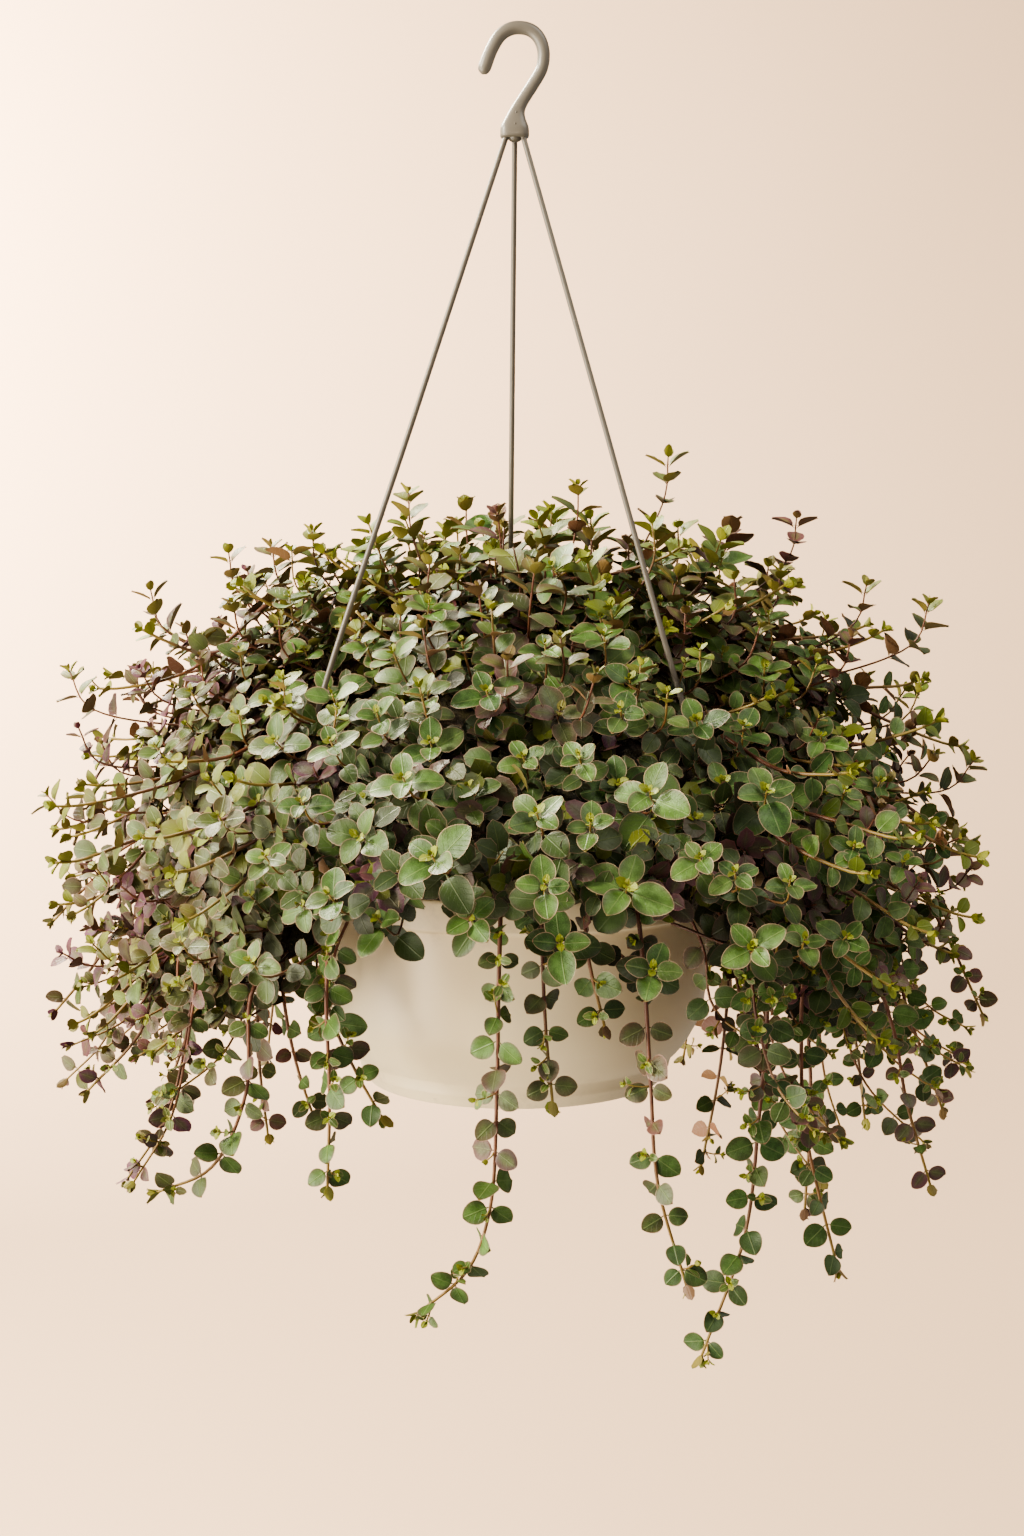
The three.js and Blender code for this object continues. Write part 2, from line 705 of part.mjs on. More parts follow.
function splitCore(core) {
  let cut = core;
  CLUMP_CUTS.forEach((azimuth) => {
    const width = STRAND_CUTS.includes(azimuth) ? STRAND_SLOT : CLUMP_GAP;
    cut = cut.subtract(slab(width, azimuth));
  });
  const pieces = cut.decompose();
  return CLUMP_CUTS.map((_, i) => {
    const own = pieces.filter((piece) => {
      const { min, max } = piece.boundingBox();
      return clumpAt(vec((min[0] + max[0]) / 2, (min[1] + max[1]) / 2, 0)) === i;
    });
    own.sort((a, b) => b.volume() - a.volume());
    const foot = polar(NECK_RING, neckAzimuths[i], 0);
    return own[0].add(post(NECK_RADIUS, NECK_SIDES, foot, NECK_BOTTOM, CORE_FLOOR + 12));
  });
}

// Whether a point lies within the core
function inCore(p) {
  const azimuth = THREE.MathUtils.radToDeg(Math.atan2(p.x, MOUND_BACK - p.y));
  const reach = moundReach(azimuth) * CORE_SHARE;
  const power = moundPower(azimuth);
  const height = Math.max(0, p.z - MOUND_BASE) / (MOUND_HEIGHT * CORE_SHARE);
  return (Math.hypot(p.x, p.y - MOUND_BACK) / reach) ** power + height ** power < 1;
}

function shootRoute(tip, axis, reach) {
  const heart = vec(0, MOUND_BACK, Math.min(MOUND_BASE, tip.z));
  let share = 1;
  while (!inCore(heart.clone().lerp(tip, share))) share -= 0.02;
  const root = heart.lerp(tip, share - ROOT_DEPTH);
  return [root, tip.clone().addScaledVector(axis, -reach), tip];
}

function rosette(tip, axis, size, extra) {
  const route = shootRoute(tip, axis, ROSETTE_ROOT);
  const total = new THREE.CatmullRomCurve3(route).getLength();
  const nodes = [
    { at: total - 3 * PETIOLE, leaf: ROSETTE_LEAF * size, lift: 0.1 },
    { at: total - PETIOLE, leaf: ROSETTE_LEAF * size * 0.78, lift: 0.45, sag: 0.06 },
  ];
  return leafyStem(route, nodes, axis, extra);
}

function sprig(tip, axis, extra) {
  const route = shootRoute(tip, axis, SPRIG_ROOT);
  const total = new THREE.CatmullRomCurve3(route).getLength();
  const nodes = [
    { at: total - 3 * PETIOLE - SPRIG_STEP, leaf: SPRIG_LEAF, lift: 0.2 },
    { at: total - 3 * PETIOLE, leaf: SPRIG_LEAF * 0.75, lift: 0.35 },
    { at: total - PETIOLE, leaf: SPRIG_LEAF * 0.5, lift: 0.8, sag: 0 },
  ];
  return leafyStem(route, nodes, axis, extra);
}

// Fuses a shoot to its clump, unless it would touch another piece or miss the clump's core
function grow(clumps, i, shoot, fat) {
  if (!clearOfOthers(fat, i)) return false;
  const grown = clumps[i].add(shoot);
  if (grown.decompose().length !== 1) return false;
  clumps[i] = grown;
  addObstacle(shoot, i);
  return true;
}

function growMound(core) {
  const random = seeded(23);
  const clumps = splitCore(core);
  clumps.forEach((clump, i) => addObstacle(clump, i));
  const tips = [];
  for (const [x, y, z] of SPRIGS) {
    const tip = vec(x, y, z);
    const axis = surfaceNormal(tip).addScaledVector(UP, 0.5).normalize();
    const i = clumpAt(shootRoute(tip, axis, 0)[0]);
    if (grow(clumps, i, sprig(tip, axis, 0), sprig(tip, axis, LEAF_CLEARANCE))) tips.push(tip);
  }
  CLUMP_CUTS.forEach((cut, i) => {
    const next = CLUMP_CUTS[i + 1] ?? CLUMP_CUTS[0] + 360;
    let grown = 0;
    for (let tries = 0; tries < ROSETTE_TRIES && grown < ROSETTES_PER_CLUMP; tries++) {
      const azimuth = THREE.MathUtils.lerp(cut, next, random());
      const level = random() * 1.35 - 0.35;
      const tip = moundPoint(azimuth, Math.max(0, level) ** 0.8, 0.97 + 0.07 * random());
      if (level < 0) tip.z += (skirtBottom(azimuth) - MOUND_BASE) * (level / -0.35);
      const stray = vec(random() - 0.5, random() - 0.5, random() - 0.5).multiplyScalar(0.5);
      const axis = surfaceNormal(tip).addScaledVector(UP, 0.35).add(stray).normalize();
      const size = 0.86 + 0.24 * random();
      const near = tips.some((other) => other.distanceTo(tip) < ROSETTE_GAP);
      if (near || clumpAt(tip) !== i) continue;
      if (!grow(clumps, i, rosette(tip, axis, size, 0), rosette(tip, axis, size, LEAF_CLEARANCE))) continue;
      tips.push(tip);
      grown += 1;
    }
  });
  return clumps;
}

const group = new THREE.Group();
const pot = makePot();
const strands = STRANDS.map(makeStrand);
group.add(meshOf("pot", pot, potMaterial));
group.add(meshOf("soil", makeSoil(), soilMaterial));
group.add(meshOf("hook", makeHook(), hangerMaterial));
STRANDS.forEach(({ name }, i) => group.add(meshOf(name, strands[i], hangerMaterial)));

addObstacle(pot, "pot");
strands.forEach((strand) => addObstacle(strand, "strand"));
let core = makeCore(seeded(7));
TRAILS.forEach((route) => {
  core = core.subtract(trailBore(route));
});
addObstacle(core, "core");
const trailRandom = seeded(11);
TRAILS.forEach((route, i) => {
  const trail = makeTrail(route, trailRandom);
  addObstacle(trail, "trail");
  group.add(meshOf(`trailing_stem_${String(i + 1).padStart(2, "0")}`, trail, trailMaterial));
});
obstacles.splice(obstacles.findIndex(({ owner }) => owner === "core"), 1);
growMound(core).forEach((clump, i) => group.add(meshOf(`clump_${i + 1}`, clump, moundMaterial)));

export default group;
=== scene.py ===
"""Turtle vine in a hanging pot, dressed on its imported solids.

Lengths in the tables are millimetres and become metres in the meshes. +Z is up, the origin is the
point where the hook bears on what holds it, and the plant's front faces -Y.
"""

import math

import bpy
import numpy as np
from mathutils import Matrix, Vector


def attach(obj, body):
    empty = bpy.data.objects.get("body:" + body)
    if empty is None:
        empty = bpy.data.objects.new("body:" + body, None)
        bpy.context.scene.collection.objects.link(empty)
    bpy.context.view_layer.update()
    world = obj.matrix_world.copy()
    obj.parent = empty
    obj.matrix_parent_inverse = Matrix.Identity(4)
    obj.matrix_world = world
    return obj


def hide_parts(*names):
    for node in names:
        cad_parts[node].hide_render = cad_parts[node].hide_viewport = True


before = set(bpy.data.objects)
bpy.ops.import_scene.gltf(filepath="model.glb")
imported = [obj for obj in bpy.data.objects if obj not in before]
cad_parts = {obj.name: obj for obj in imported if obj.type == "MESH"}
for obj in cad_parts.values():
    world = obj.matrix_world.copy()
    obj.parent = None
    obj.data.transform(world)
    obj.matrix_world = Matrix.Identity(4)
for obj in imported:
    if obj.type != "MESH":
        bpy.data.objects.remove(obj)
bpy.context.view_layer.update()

MM = 0.001
PLANT_SEED = 41
SOIL_SEED = 5
THICKET_SEED = 9
random = np.random.default_rng(PLANT_SEED)

# Pot
RIM_RADIUS = 125
RIM_TOP = -504
POT_BOTTOM = -630
EAR_CENTRE = 131
EAR_WIDTH = 16
EAR_THICKNESS = 4
EAR_TOP = RIM_TOP - 0.5
EAR_FLOOR = EAR_TOP - EAR_THICKNESS
EAR_HOLE = 2.45
DRAINS = 5
DRAIN_RING = 55
DRAIN_RADIUS = 4.5
POT_PROFILE = [
    (0, -627), (80, -627), (81.5, -627.4), (82, -629.6), (82.6, -630), (89.4, -630), (90.3, -629.6),
    (90.9, -628.4), (94.3, -623.4), (94.9, -622.4), (95.1, -621), (96.6, -616.2), (97.2, -615.2),
    (98, -614.4), (100.6, -612), (104, -608), (107.6, -602.6), (111.1, -596.4), (114, -590),
    (116.2, -582), (117.9, -570), (119, -555), (120.1, -539), (120.9, -525), (121.2, -523.2),
    (122, -522.6), (124.2, -522.4), (124.9, -521.8), (125, -520.6), (125, -506.4), (124.8, -505),
    (124.1, -504.2), (123.2, -504), (120.2, -504), (119.4, -504.4), (119, -505.4), (118.8, -521),
    (118, -527), (117, -555), (114.2, -578), (109.8, -594.6), (104, -604), (96, -613), (86.6, -624.4),
    (84, -625), (0, -625),
]

# Soil
SOIL_TOP = -516
SOIL_CROWN = 3
SOIL_PROFILE = [(117.6, SOIL_TOP), (116.6, -545), (111.2, -591), (101.8, -609.4), (86.4, -624.6)]

# Strands: azimuths are degrees from the front, towards +X
STRAND_TOP_RADIUS = 1.65
STRAND_FOOT_RADIUS = 1.7
CAP_BOTTOM = -61
SOCKET_DEPTH = 8
HEAD_RADIUS = 4
HEAD_HEIGHT = 5
HEAD_PROFILE = [(0, 3.5), (-0.5, HEAD_RADIUS), (-4.3, HEAD_RADIUS), (-HEAD_HEIGHT, 3.3)]
STRANDS = {
    "strand_left": (-64, 6, [(126.6, -395), (134, -425), (134, -465), (131.5, -488)]),
    "strand_right": (56, 6, [(117, -395), (129, -425), (131.5, -465), (131, -488)]),
    "strand_rear": (182, 5, [(98.9, -390), (116, -450), (128, -485)]),
}

# Hook and cap: along the line, x, z, half width, half depth and squareness of each section
HOOK_SECTIONS = [
    (-19.7, -23.3, 0.7, 0.7, 1), (-19.5, -22.9, 1.9, 1.9, 1), (-19.2, -22.1, 2.9, 2.9, 1),
    (-18.8, -20.9, 3.6, 3.6, 1), (-18.2, -19.4, 3.95, 3.95, 1), (-14.2, -9.2, 3.9, 3.9, 1),
    (-8.8, -0.6, 3.9, 3.9, 1), (-3, 3.2, 4, 4, 1), (2.8, 4, 4, 4, 1), (9.5, 2.4, 4, 4, 1),
    (14.3, -2, 3.9, 3.9, 1), (17, -9.7, 3.8, 3.9, 1), (16.2, -19.5, 3.7, 3.9, 1),
    (10.6, -29.7, 3.7, 3.9, 0.98), (6.9, -35.3, 3.7, 3.9, 0.92), (3.9, -40.1, 3.8, 4.1, 0.85),
    (1.8, -44.2, 4.4, 4.5, 0.78), (0.5, -48.2, 5.7, 5.3, 0.7), (-0.1, -51.8, 7.3, 6.3, 0.64),
    (-0.2, -55, 8.5, 7.2, 0.6), (-0.2, -58, 8.7, 7.5, 0.58), (-0.2, -60.3, 8.6, 7.5, 0.58),
    (-0.2, -60.9, 8.2, 7.1, 0.58), (-0.2, -61, 7.7, 6.7, 0.58),
]

# The mound: its crown leans back, its front slopes and its skirt hangs over the rim
MOUND_BACK = 30
MOUND_BASE = -475
MOUND_HEIGHT = 167
MOUND_SIDE = 262
MOUND_FRONT = 265
MOUND_REAR = 222
CORE_SHARE = 0.76
OVER_RIM = 150
WITHIN_RIM = 122
SKIRT_FRONT = -492
SKIRT_SIDE = -562
SKIRT_OPENS = 30
SKIRT_CLOSES = 52
CLUMP_CUTS = [-64, -4, 56, 119, 182, 239]

# Long stems that trail from the mound: points down each, the first one inside the mound
TRAILS = [
    [(-7, -168, -470), (-8, -183, -503), (-9, -189, -540), (-10, -187, -600), (-14, -185, -662),
     (-26, -185, -694), (-53, -187, -717)],
    [(15, -164, -470), (14, -177, -503), (16, -181, -560), (20, -179, -604)],
    [(35, -164, -470), (37, -178, -503), (39, -182, -525), (48, -180, -563)],
    [(62, -160, -472), (66, -176, -505), (69, -184, -540), (72, -188, -590), (76, -190, -645),
     (92, -188, -702)],
    [(130, -120, -500), (136, -146, -522), (138, -152, -560), (134, -151, -620), (127, -150, -685),
     (103, -150, -755)],
    [(146, -96, -515), (160, -124, -535), (160, -127, -570), (163, -124, -630), (183, -120, -715)],
    [(167, -60, -540), (171, -61, -572), (175, -60, -630), (172, -60, -699)],
    [(170, -70, -530), (200, -86, -542), (217, -91, -580), (226, -91, -625), (241, -90, -676)],
    [(190, -18, -535), (225, -28, -548), (237, -30, -585), (259, -30, -646)],
    [(205, 4, -500), (244, 0, -512), (266, 0, -545), (289, 0, -594)],
    [(-90, -136, -492), (-99, -164, -510), (-102, -168, -545), (-101, -164, -603),
     (-103, -158, -657)],
    [(-120, -120, -496), (-110, -121, -532), (-104, -120, -568), (-90, -121, -600),
     (-75, -121, -627)],
    [(-130, -104, -535), (-146, -134, -552), (-150, -137, -610), (-170, -134, -652),
     (-201, -130, -667)],
    [(-180, -26, -540), (-212, -38, -558), (-224, -40, -595), (-257, -40, -632)],
    [(-205, 22, -520), (-242, 20, -538), (-266, 20, -570), (-288, 20, -596)],
    [(-208, 46, -490), (-247, 38, -500), (-271, 34, -520), (-291, 32, -541)],
    [(-186, 58, -540), (-200, 60, -582), (-217, 60, -635), (-232, 60, -672)],
    [(-160, 2, -540), (-159, 0, -576), (-158, 0, -625), (-153, 0, -670)],
    [(-140, -52, -540), (-136, -60, -575), (-129, -62, -610), (-119, -62, -642)],
    [(142, 78, -540), (140, 74, -578), (133, 68, -645), (121, 64, -708)],
    [(190, 52, -535), (207, 52, -570), (218, 48, -620), (224, 44, -672)],
    [(118, 160, -535), (126, 188, -556), (128, 196, -600), (120, 202, -668)],
    [(62, 180, -535), (64, 212, -556), (62, 220, -600), (70, 222, -650)],
    [(-26, 186, -535), (-24, 220, -556), (-20, 229, -600), (-28, 234, -690)],
    [(-86, 174, -535), (-96, 206, -556), (-102, 212, -598), (-98, 214, -640)],
    [(-134, 126, -535), (-156, 152, -556), (-164, 160, -600), (-172, 166, -660)],
]

# Tips of the shoots that stand furthest out of the mound
SPRIGS = [
    (-276, 20, -382), (-226, 25, -332), (-178, 30, -309), (-126, 30, -296), (-66, 30, -272),
    (-31, 60, -278), (39, 20, -268), (96, 46, -249), (175, 30, -287), (218, 25, -329),
    (254, 10, -340), (285, 20, -438), (-290, 15, -459), (60, 190, -330), (0, 252, -430),
    (120, 218, -420), (-140, 200, -425),
]

# Rosettes that stand out at the front: where each one's centre is and the length of its leaves
ROSETTES = [
    (-43, -222, -464, 20.4), (-60, -178, -428, 17.8), (-16, -123, -385, 17.5), (11, -204, -444, 16.4),
    (39, -206, -449, 15.6), (71, -183, -435, 21.1), (137, -151, -438, 19.4), (58, -205, -482, 21.8),
    (124, -203, -514, 16.4), (72, -205, -526, 16.4), (23, -205, -512, 17.4), (-98, -205, -486, 15.2),
    (-134, -70, -394, 17.0), (-162, -150, -452, 14.8), (-132, -193, -468, 13.2),
    (101, -118, -402, 17.6), (148, -39, -377, 19.9), (50, -44, -347, 18.6), (17, -83, -361, 15.6),
    (-18, -36, -336, 15.0), (185, -150, -468, 13.7), (180, -162, -516, 13.5), (34, -168, -417, 13.5),
    (15, -224, -478, 14.8), (-24, -205, -498, 15.2), (-72, -30, -349, 13.9), (-89, -40, -361, 15.0),
    (-31, -77, -359, 13.3), (-77, -124, -397, 14.0), (58, -128, -395, 15.1), (88, -9, -338, 14.0),
    (178, -67, -415, 15.9), (154, -184, -514, 13.3), (-140, -194, -523, 13.2),
    (-182, -160, -519, 12.5), (-115, -171, -441, 13.4), (-102, -134, -412, 13.9),
    (-165, -25, -367, 13.9), (-193, -36, -391, 13.8), (-211, -56, -422, 13.5), (114, -207, -474, 13.0),
    (145, -191, -481, 13.2), (96, -208, -466, 14.1), (105, -11, -341, 14.0), (186, -109, -442, 13.0),
    (219, -115, -481, 12.9), (211, -77, -440, 13.3),
]

# Where the brightest light comes from, as the leaves of the front have grown towards it
WINDOW = (-0.3, -0.85, 0.5)
SKY = (-0.25, -0.3, 0.92)

# Camera and what it sees of the strands
CAMERA_AT = (-1.8, -1350, -307.5)
CAMERA_PITCH = 4.14
CAMERA_LENS = 51.9
CAMERA_SHIFT = -0.0376
STRAND_SHOWS_TO = {"strand_left": -386, "strand_right": -384, "strand_rear": -305}


def unit(v):
    v = np.asarray(v, float)
    return v / np.linalg.norm(v, axis=-1, keepdims=True)


def smoothstep(x, low, high):
    t = np.clip((np.asarray(x, float) - low) / (high - low), 0, 1)
    return t * t * (3 - 2 * t)


def ease(x, low, high):
    """The smooth step of a single number."""
    return float(smoothstep(x, low, high))


def lerp(a, b, t):
    return a + (b - a) * t


def polar(radius, azimuth, z):
    """A point by its distance from the pot's axis and its azimuth in degrees from the front."""
    a = math.radians(azimuth)
    return np.array([radius * math.sin(a), -radius * math.cos(a), z])


def smooth_line(rows, spacing, place=3):
    """Evenly spaced rows of a smooth curve through the given ones; the first columns are the place."""
    p = np.asarray(rows, float)
    t = np.concatenate([[0], np.cumsum(np.sqrt(np.linalg.norm(np.diff(p[:, :place], axis=0), axis=1)))])
    slope = np.gradient(p, t, axis=0)
    fine = []
    for i in range(len(p) - 1):
        h = t[i + 1] - t[i]
        s = np.linspace(0, 1, 24, endpoint=i == len(p) - 2)[:, None]
        fine.append(
            (2 * s**3 - 3 * s**2 + 1) * p[i] + (s**3 - 2 * s**2 + s) * h * slope[i]
            + (3 * s**2 - 2 * s**3) * p[i + 1] + (s**3 - s**2) * h * slope[i + 1]
        )
    fine = np.concatenate(fine)
    length = np.concatenate([[0], np.cumsum(np.linalg.norm(np.diff(fine[:, :place], axis=0), axis=1))])
    at = np.linspace(0, length[-1], max(2, round(length[-1] / spacing) + 1))
    return np.stack([np.interp(at, length, column) for column in fine.T], axis=1)


def line_length(line):
    return float(np.linalg.norm(np.diff(line, axis=0), axis=1).sum())


def frames_along(line, side):
    """Tangents and two cross directions down a line, carried along without twist."""
    tangents = unit(np.gradient(line, axis=0))
    u = np.asarray(side, float)
    us = []
    for t in tangents:
        u = u - t * (u @ t)
        u = u / np.linalg.norm(u)
        us.append(u)
    us = np.array(us)
    return tangents, us, np.cross(tangents, us)


def tube(line, radii, sides, side=(1, 0.02, 0.03)):
    """Points and faces of a round bar along a line."""
    _, u, v = frames_along(line, side)
    a = np.arange(sides) * 2 * math.pi / sides
    ring = np.cos(a)[None, :, None] * u[:, None] + np.sin(a)[None, :, None] * v[:, None]
    points = line[:, None] + np.asarray(radii)[:, None, None] * ring
    return loft(points)


def loft(rings):
    """Points and faces of a skin through rings of equal count, closed at both ends."""
    count, sides = rings.shape[:2]
    k = np.arange(sides)
    nxt = (k + 1) % sides
    faces = []
    for j in range(count - 1):
        a = j * sides
        b = a + sides
        faces.append(np.stack([a + k, a + nxt, b + nxt, b + k], axis=1))
    faces = np.concatenate(faces).tolist()
    faces.append(list(range(sides))[::-1])
    faces.append(list(range((count - 1) * sides, count * sides)))
    return rings.reshape(-1, 3), faces


def stand(name, data):
    """A new object in the scene."""
    thing = bpy.data.objects.new(name, data)
    bpy.context.scene.collection.objects.link(thing)
    return thing


def ring_faces(count, steps):
    """Faces between rings of points that follow each other, left open at both ends."""
    faces = []
    for j in range(count - 1):
        for k in range(steps):
            n = (k + 1) % steps
            faces.append([j * steps + k, (j + 1) * steps + k, (j + 1) * steps + n, j * steps + n])
    return faces


def mesh_piece(name, points, faces, material):
    """A smooth mesh object from points in millimetres."""
    mesh = bpy.data.meshes.new(name)
    mesh.from_pydata((np.asarray(points) * MM).tolist(), [], faces)
    mesh.materials.append(material)
    mesh.polygons.foreach_set("use_smooth", [True] * len(mesh.polygons))
    mesh.validate()
    return stand(name, mesh)


def sharpen(piece, degrees):
    """Marks the edges of a smooth piece that turn by more than an angle."""
    piece.data.set_sharp_from_angle(angle=math.radians(degrees))


def dress(piece, node):
    """The piece stands for its solid, which is hidden, and hangs from the root."""
    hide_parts(node)
    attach(piece, "root")


# Materials


def srgb(code):
    """A colour written as in a paint chart, as Blender's linear values."""
    parts = [int(code[i:i + 2], 16) / 255 for i in (1, 3, 5)]
    return tuple(c / 12.92 if c <= 0.04045 else ((c + 0.055) / 1.055) ** 2.4 for c in parts) + (1,)


# The colour sockets of a Mix node, whose names it shares with its other kinds
MIX_FIRST = 6
MIX_SECOND = 7
MIX_COLOUR = 2


class Graph:
    """Adds nodes to a material or group, and links or sets each input by its name."""

    def __init__(self, tree):
        self.tree = tree

    def add(self, kind, output=0, settings=None, **inputs):
        node = self.tree.nodes.new(kind)
        for key, value in (settings or {}).items():
            setattr(node, key, value)
        for key, value in inputs.items():
            self.put(node.inputs[int(key[1:])] if key[1:].isdigit() else node.inputs[key], value)
        return node.outputs[output]

    def put(self, socket, value):
        """Links a socket, or sets it to a number, a vector or the colour of a code such as #142c04."""
        if isinstance(value, bpy.types.NodeSocket):
            self.tree.links.new(value, socket)
        else:
            socket.default_value = srgb(value) if isinstance(value, str) else value

    def maths(self, operation, a, b=0.0, c=0.0):
        return self.add("ShaderNodeMath", settings={"operation": operation}, _0=a, _1=b, _2=c)

    def times(self, a, b):
        return self.maths("MULTIPLY", a, b)

    def spread(self, value, low, high, to_low=0.0, to_high=1.0):
        """Maps a value smoothly from one range to another."""
        node = self.tree.nodes.new("ShaderNodeMapRange")
        node.interpolation_type = "SMOOTHSTEP"
        for key, v in zip(("Value", "From Min", "From Max", "To Min", "To Max"),
                          (value, low, high, to_low, to_high)):
            self.put(node.inputs[key], v)
        return node.outputs[0]

    def blend(self, share, a, b):
        """Goes from one colour to another as the share goes from 0 to 1."""
        node = self.tree.nodes.new("ShaderNodeMix")
        node.data_type = "RGBA"
        self.put(node.inputs[0], share)
        self.put(node.inputs[MIX_FIRST], a)
        self.put(node.inputs[MIX_SECOND], b)
        return node.outputs[MIX_COLOUR]

    def noise(self, vector, scale, detail=3.0, roughness=0.55):
        return self.add("ShaderNodeTexNoise", Vector=vector, Scale=scale, Detail=detail, Roughness=roughness)

    def trait(self, name):
        """A number stored on the mesh."""
        return self.add("ShaderNodeAttribute", output=2, settings={"attribute_name": name})

    def place(self):
        """Where on the object a point is, in metres."""
        return self.add("ShaderNodeTexCoord", output=3)

    def height(self, place):
        return self.add("ShaderNodeSeparateXYZ", output=2, Vector=place)

    def bump(self, height, distance, strength=1.0):
        return self.add("ShaderNodeBump", Height=height, Distance=distance, Strength=strength)

    def surface(self, shader, colour, roughness, normal=None):
        """Links a Principled shader's colour, its roughness and, if there is one, its normal."""
        self.put(shader.inputs["Base Color"], colour)
        self.put(shader.inputs["Roughness"], roughness)
        if normal is not None:
            self.put(shader.inputs["Normal"], normal)


def new_group(name, inputs, outputs):
    """An empty node group with named sockets; returns it with its input and output nodes."""
    group = bpy.data.node_groups.new(name, "ShaderNodeTree")
    for socket, kind, value in inputs:
        made = group.interface.new_socket(name=socket, in_out="INPUT", socket_type=kind)
        if value is not None:
            made.default_value = value
    for socket, kind in outputs:
        group.interface.new_socket(name=socket, in_out="OUTPUT", socket_type=kind)
    entry = group.nodes.new("NodeGroupInput")
    leave = group.nodes.new("NodeGroupOutput")
    return group, entry, leave


def new_material(name, **values):
    """A material with its Principled shader, whose uniform values are set on its own sockets."""
    material = bpy.data.materials.new(name)
    material.use_nodes = True
    shader = material.node_tree.nodes["Principled BSDF"]
    for key, value in values.items():
        shader.inputs[key.replace("_", " ")].default_value = value
    return material, Graph(material.node_tree), shader


def use_group(graph, group, **inputs):
    """Places a node group and returns its outputs by name."""
    node = graph.tree.nodes.new("ShaderNodeGroup")
    node.node_tree = group
    for key, value in inputs.items():
        graph.put(node.inputs[key.replace("_", " ")], value)
    return node.outputs


def make_leaf_pattern():
    """Margin, veins and mottling of a blade, in millimetres along and across it."""
    group, entry, leave = new_group(
        "leaf pattern",
        [("Mottle Scale", "NodeSocketFloat", 1.0), ("Margin Width", "NodeSocketFloat", 0.6)],
        [("Mottle", "NodeSocketFloat"), ("Veins", "NodeSocketFloat"), ("Midrib", "NodeSocketFloat"),
         ("Margin", "NodeSocketFloat"), ("Relief", "NodeSocketFloat")],
    )
    g = Graph(group)
    along = g.trait("along")
    signed = g.trait("across")
    across = g.maths("ABSOLUTE", signed)
    blade = g.add("ShaderNodeCombineXYZ", _0=along, _1=signed, _2=g.times(g.trait("tone"), 90.0))
    mottle = g.noise(blade, entry.outputs["Mottle Scale"], 3.0, 0.6)
    patches = g.noise(blade, 0.16, 1.0, 0.5)
    wander = g.noise(blade, 0.35, 2.0, 0.5)
    course = g.maths("SUBTRACT", along, g.times(across, 0.8))
    course = g.maths("ADD", course, g.times(wander, 1.6))
    wave = g.maths("ABSOLUTE", g.maths("SINE", g.times(course, 0.95)))
    veins = g.times(g.spread(wave, 0.2, 0.0), g.spread(across, 0.2, 1.2))
    midrib = g.spread(across, 0.5, 0.1)
    margin = g.spread(g.maths("ADD", g.trait("edge"), g.times(mottle, 0.12)),
                      entry.outputs["Margin Width"], 0.12)
    speckle = g.maths("ADD", g.times(mottle, 0.45), g.times(patches, 0.55))
    relief = g.maths("SUBTRACT", g.times(mottle, 0.7), g.times(veins, 0.6))
    relief = g.maths("SUBTRACT", relief, g.times(midrib, 0.9))
    for name, value in (("Mottle", speckle), ("Veins", veins), ("Midrib", midrib),
                        ("Margin", margin), ("Relief", relief)):
        g.tree.links.new(value, leave.inputs[name])
    return group


def make_leaf_face(pattern):
    """The upper side: sage over green, cream-pink margins, yellow-green when young, riper at the left, with
    painted shade on the leaves further in.
    """
    material, g, shader = new_material(
        "leaf_face", Specular_IOR_Level=0.3, Specular_Tint=(0.9, 1.0, 0.84, 1.0))
    p = use_group(g, pattern, Mottle_Scale=1.3, Margin_Width=0.6)
    age, tone, blush, depth = (g.trait(n) for n in ("age", "tone", "blush", "depth"))
    green = g.blend(tone, "#142c04", "#38560e")
    sage = g.blend(tone, "#385a20", "#608138")
    bloom = g.times(g.spread(p["Mottle"], 0.38, 0.66), g.spread(age, 0.3, 0.8, 0.2, 0.7))
    # Leaves further in lose part of their sage, as part of their painted shade
    bloom = g.times(bloom, g.spread(depth, 0.0, 0.7, 1.0, 0.25))
    grown = g.spread(age, 0.25, 0.7, 0.1, 1.0)
    sideways = g.add("ShaderNodeSeparateXYZ", Vector=g.place())
    ripe = g.spread(sideways, -0.09, -0.22)
    colour = g.blend(bloom, green, sage)
    colour = g.blend(g.times(ripe, g.spread(tone, 0.6, 0.3, 0.2, 0.8)), colour, "#3c3606")
    colour = g.blend(g.times(p["Veins"], 0.2), colour, "#33460f")
    colour = g.blend(g.times(p["Midrib"], 0.18), colour, "#8f9e5a")
    colour = g.blend(g.spread(age, 0.6, 0.1), colour, "#6f7803")
    mauve = g.blend(tone, g.blend(p["Mottle"], "#44191f", "#6c3a38"),
                    g.blend(p["Mottle"], "#360f30", "#5e2a48"))
    edge = g.trait("edge")
    flush = g.times(g.spread(edge, 3.2, 0.5), g.spread(tone, 0.2, 0.9, 0.08, 0.34))
    blushed = g.times(blush, g.spread(edge, 5.0, 1.0, 0.6, 1.2))
    colour = g.blend(g.maths("MAXIMUM", blushed, g.times(flush, grown)), colour, mauve)
    colour = g.blend(g.times(g.times(p["Margin"], 0.52), grown), colour,
                     g.blend(blush, "#c39a80", "#94545e"))
    # Painted shade: leaves further in are darkened towards near-black, a browner black at the left
    shade = g.blend(ripe, "#160f04", "#2b1705")
    colour = g.blend(depth, colour, g.blend(0.8, colour, shade))
    g.surface(shader, colour, g.spread(p["Mottle"], 0.2, 0.9, 0.54, 0.38), g.bump(p["Relief"], 0.00035, 0.6))
    return material


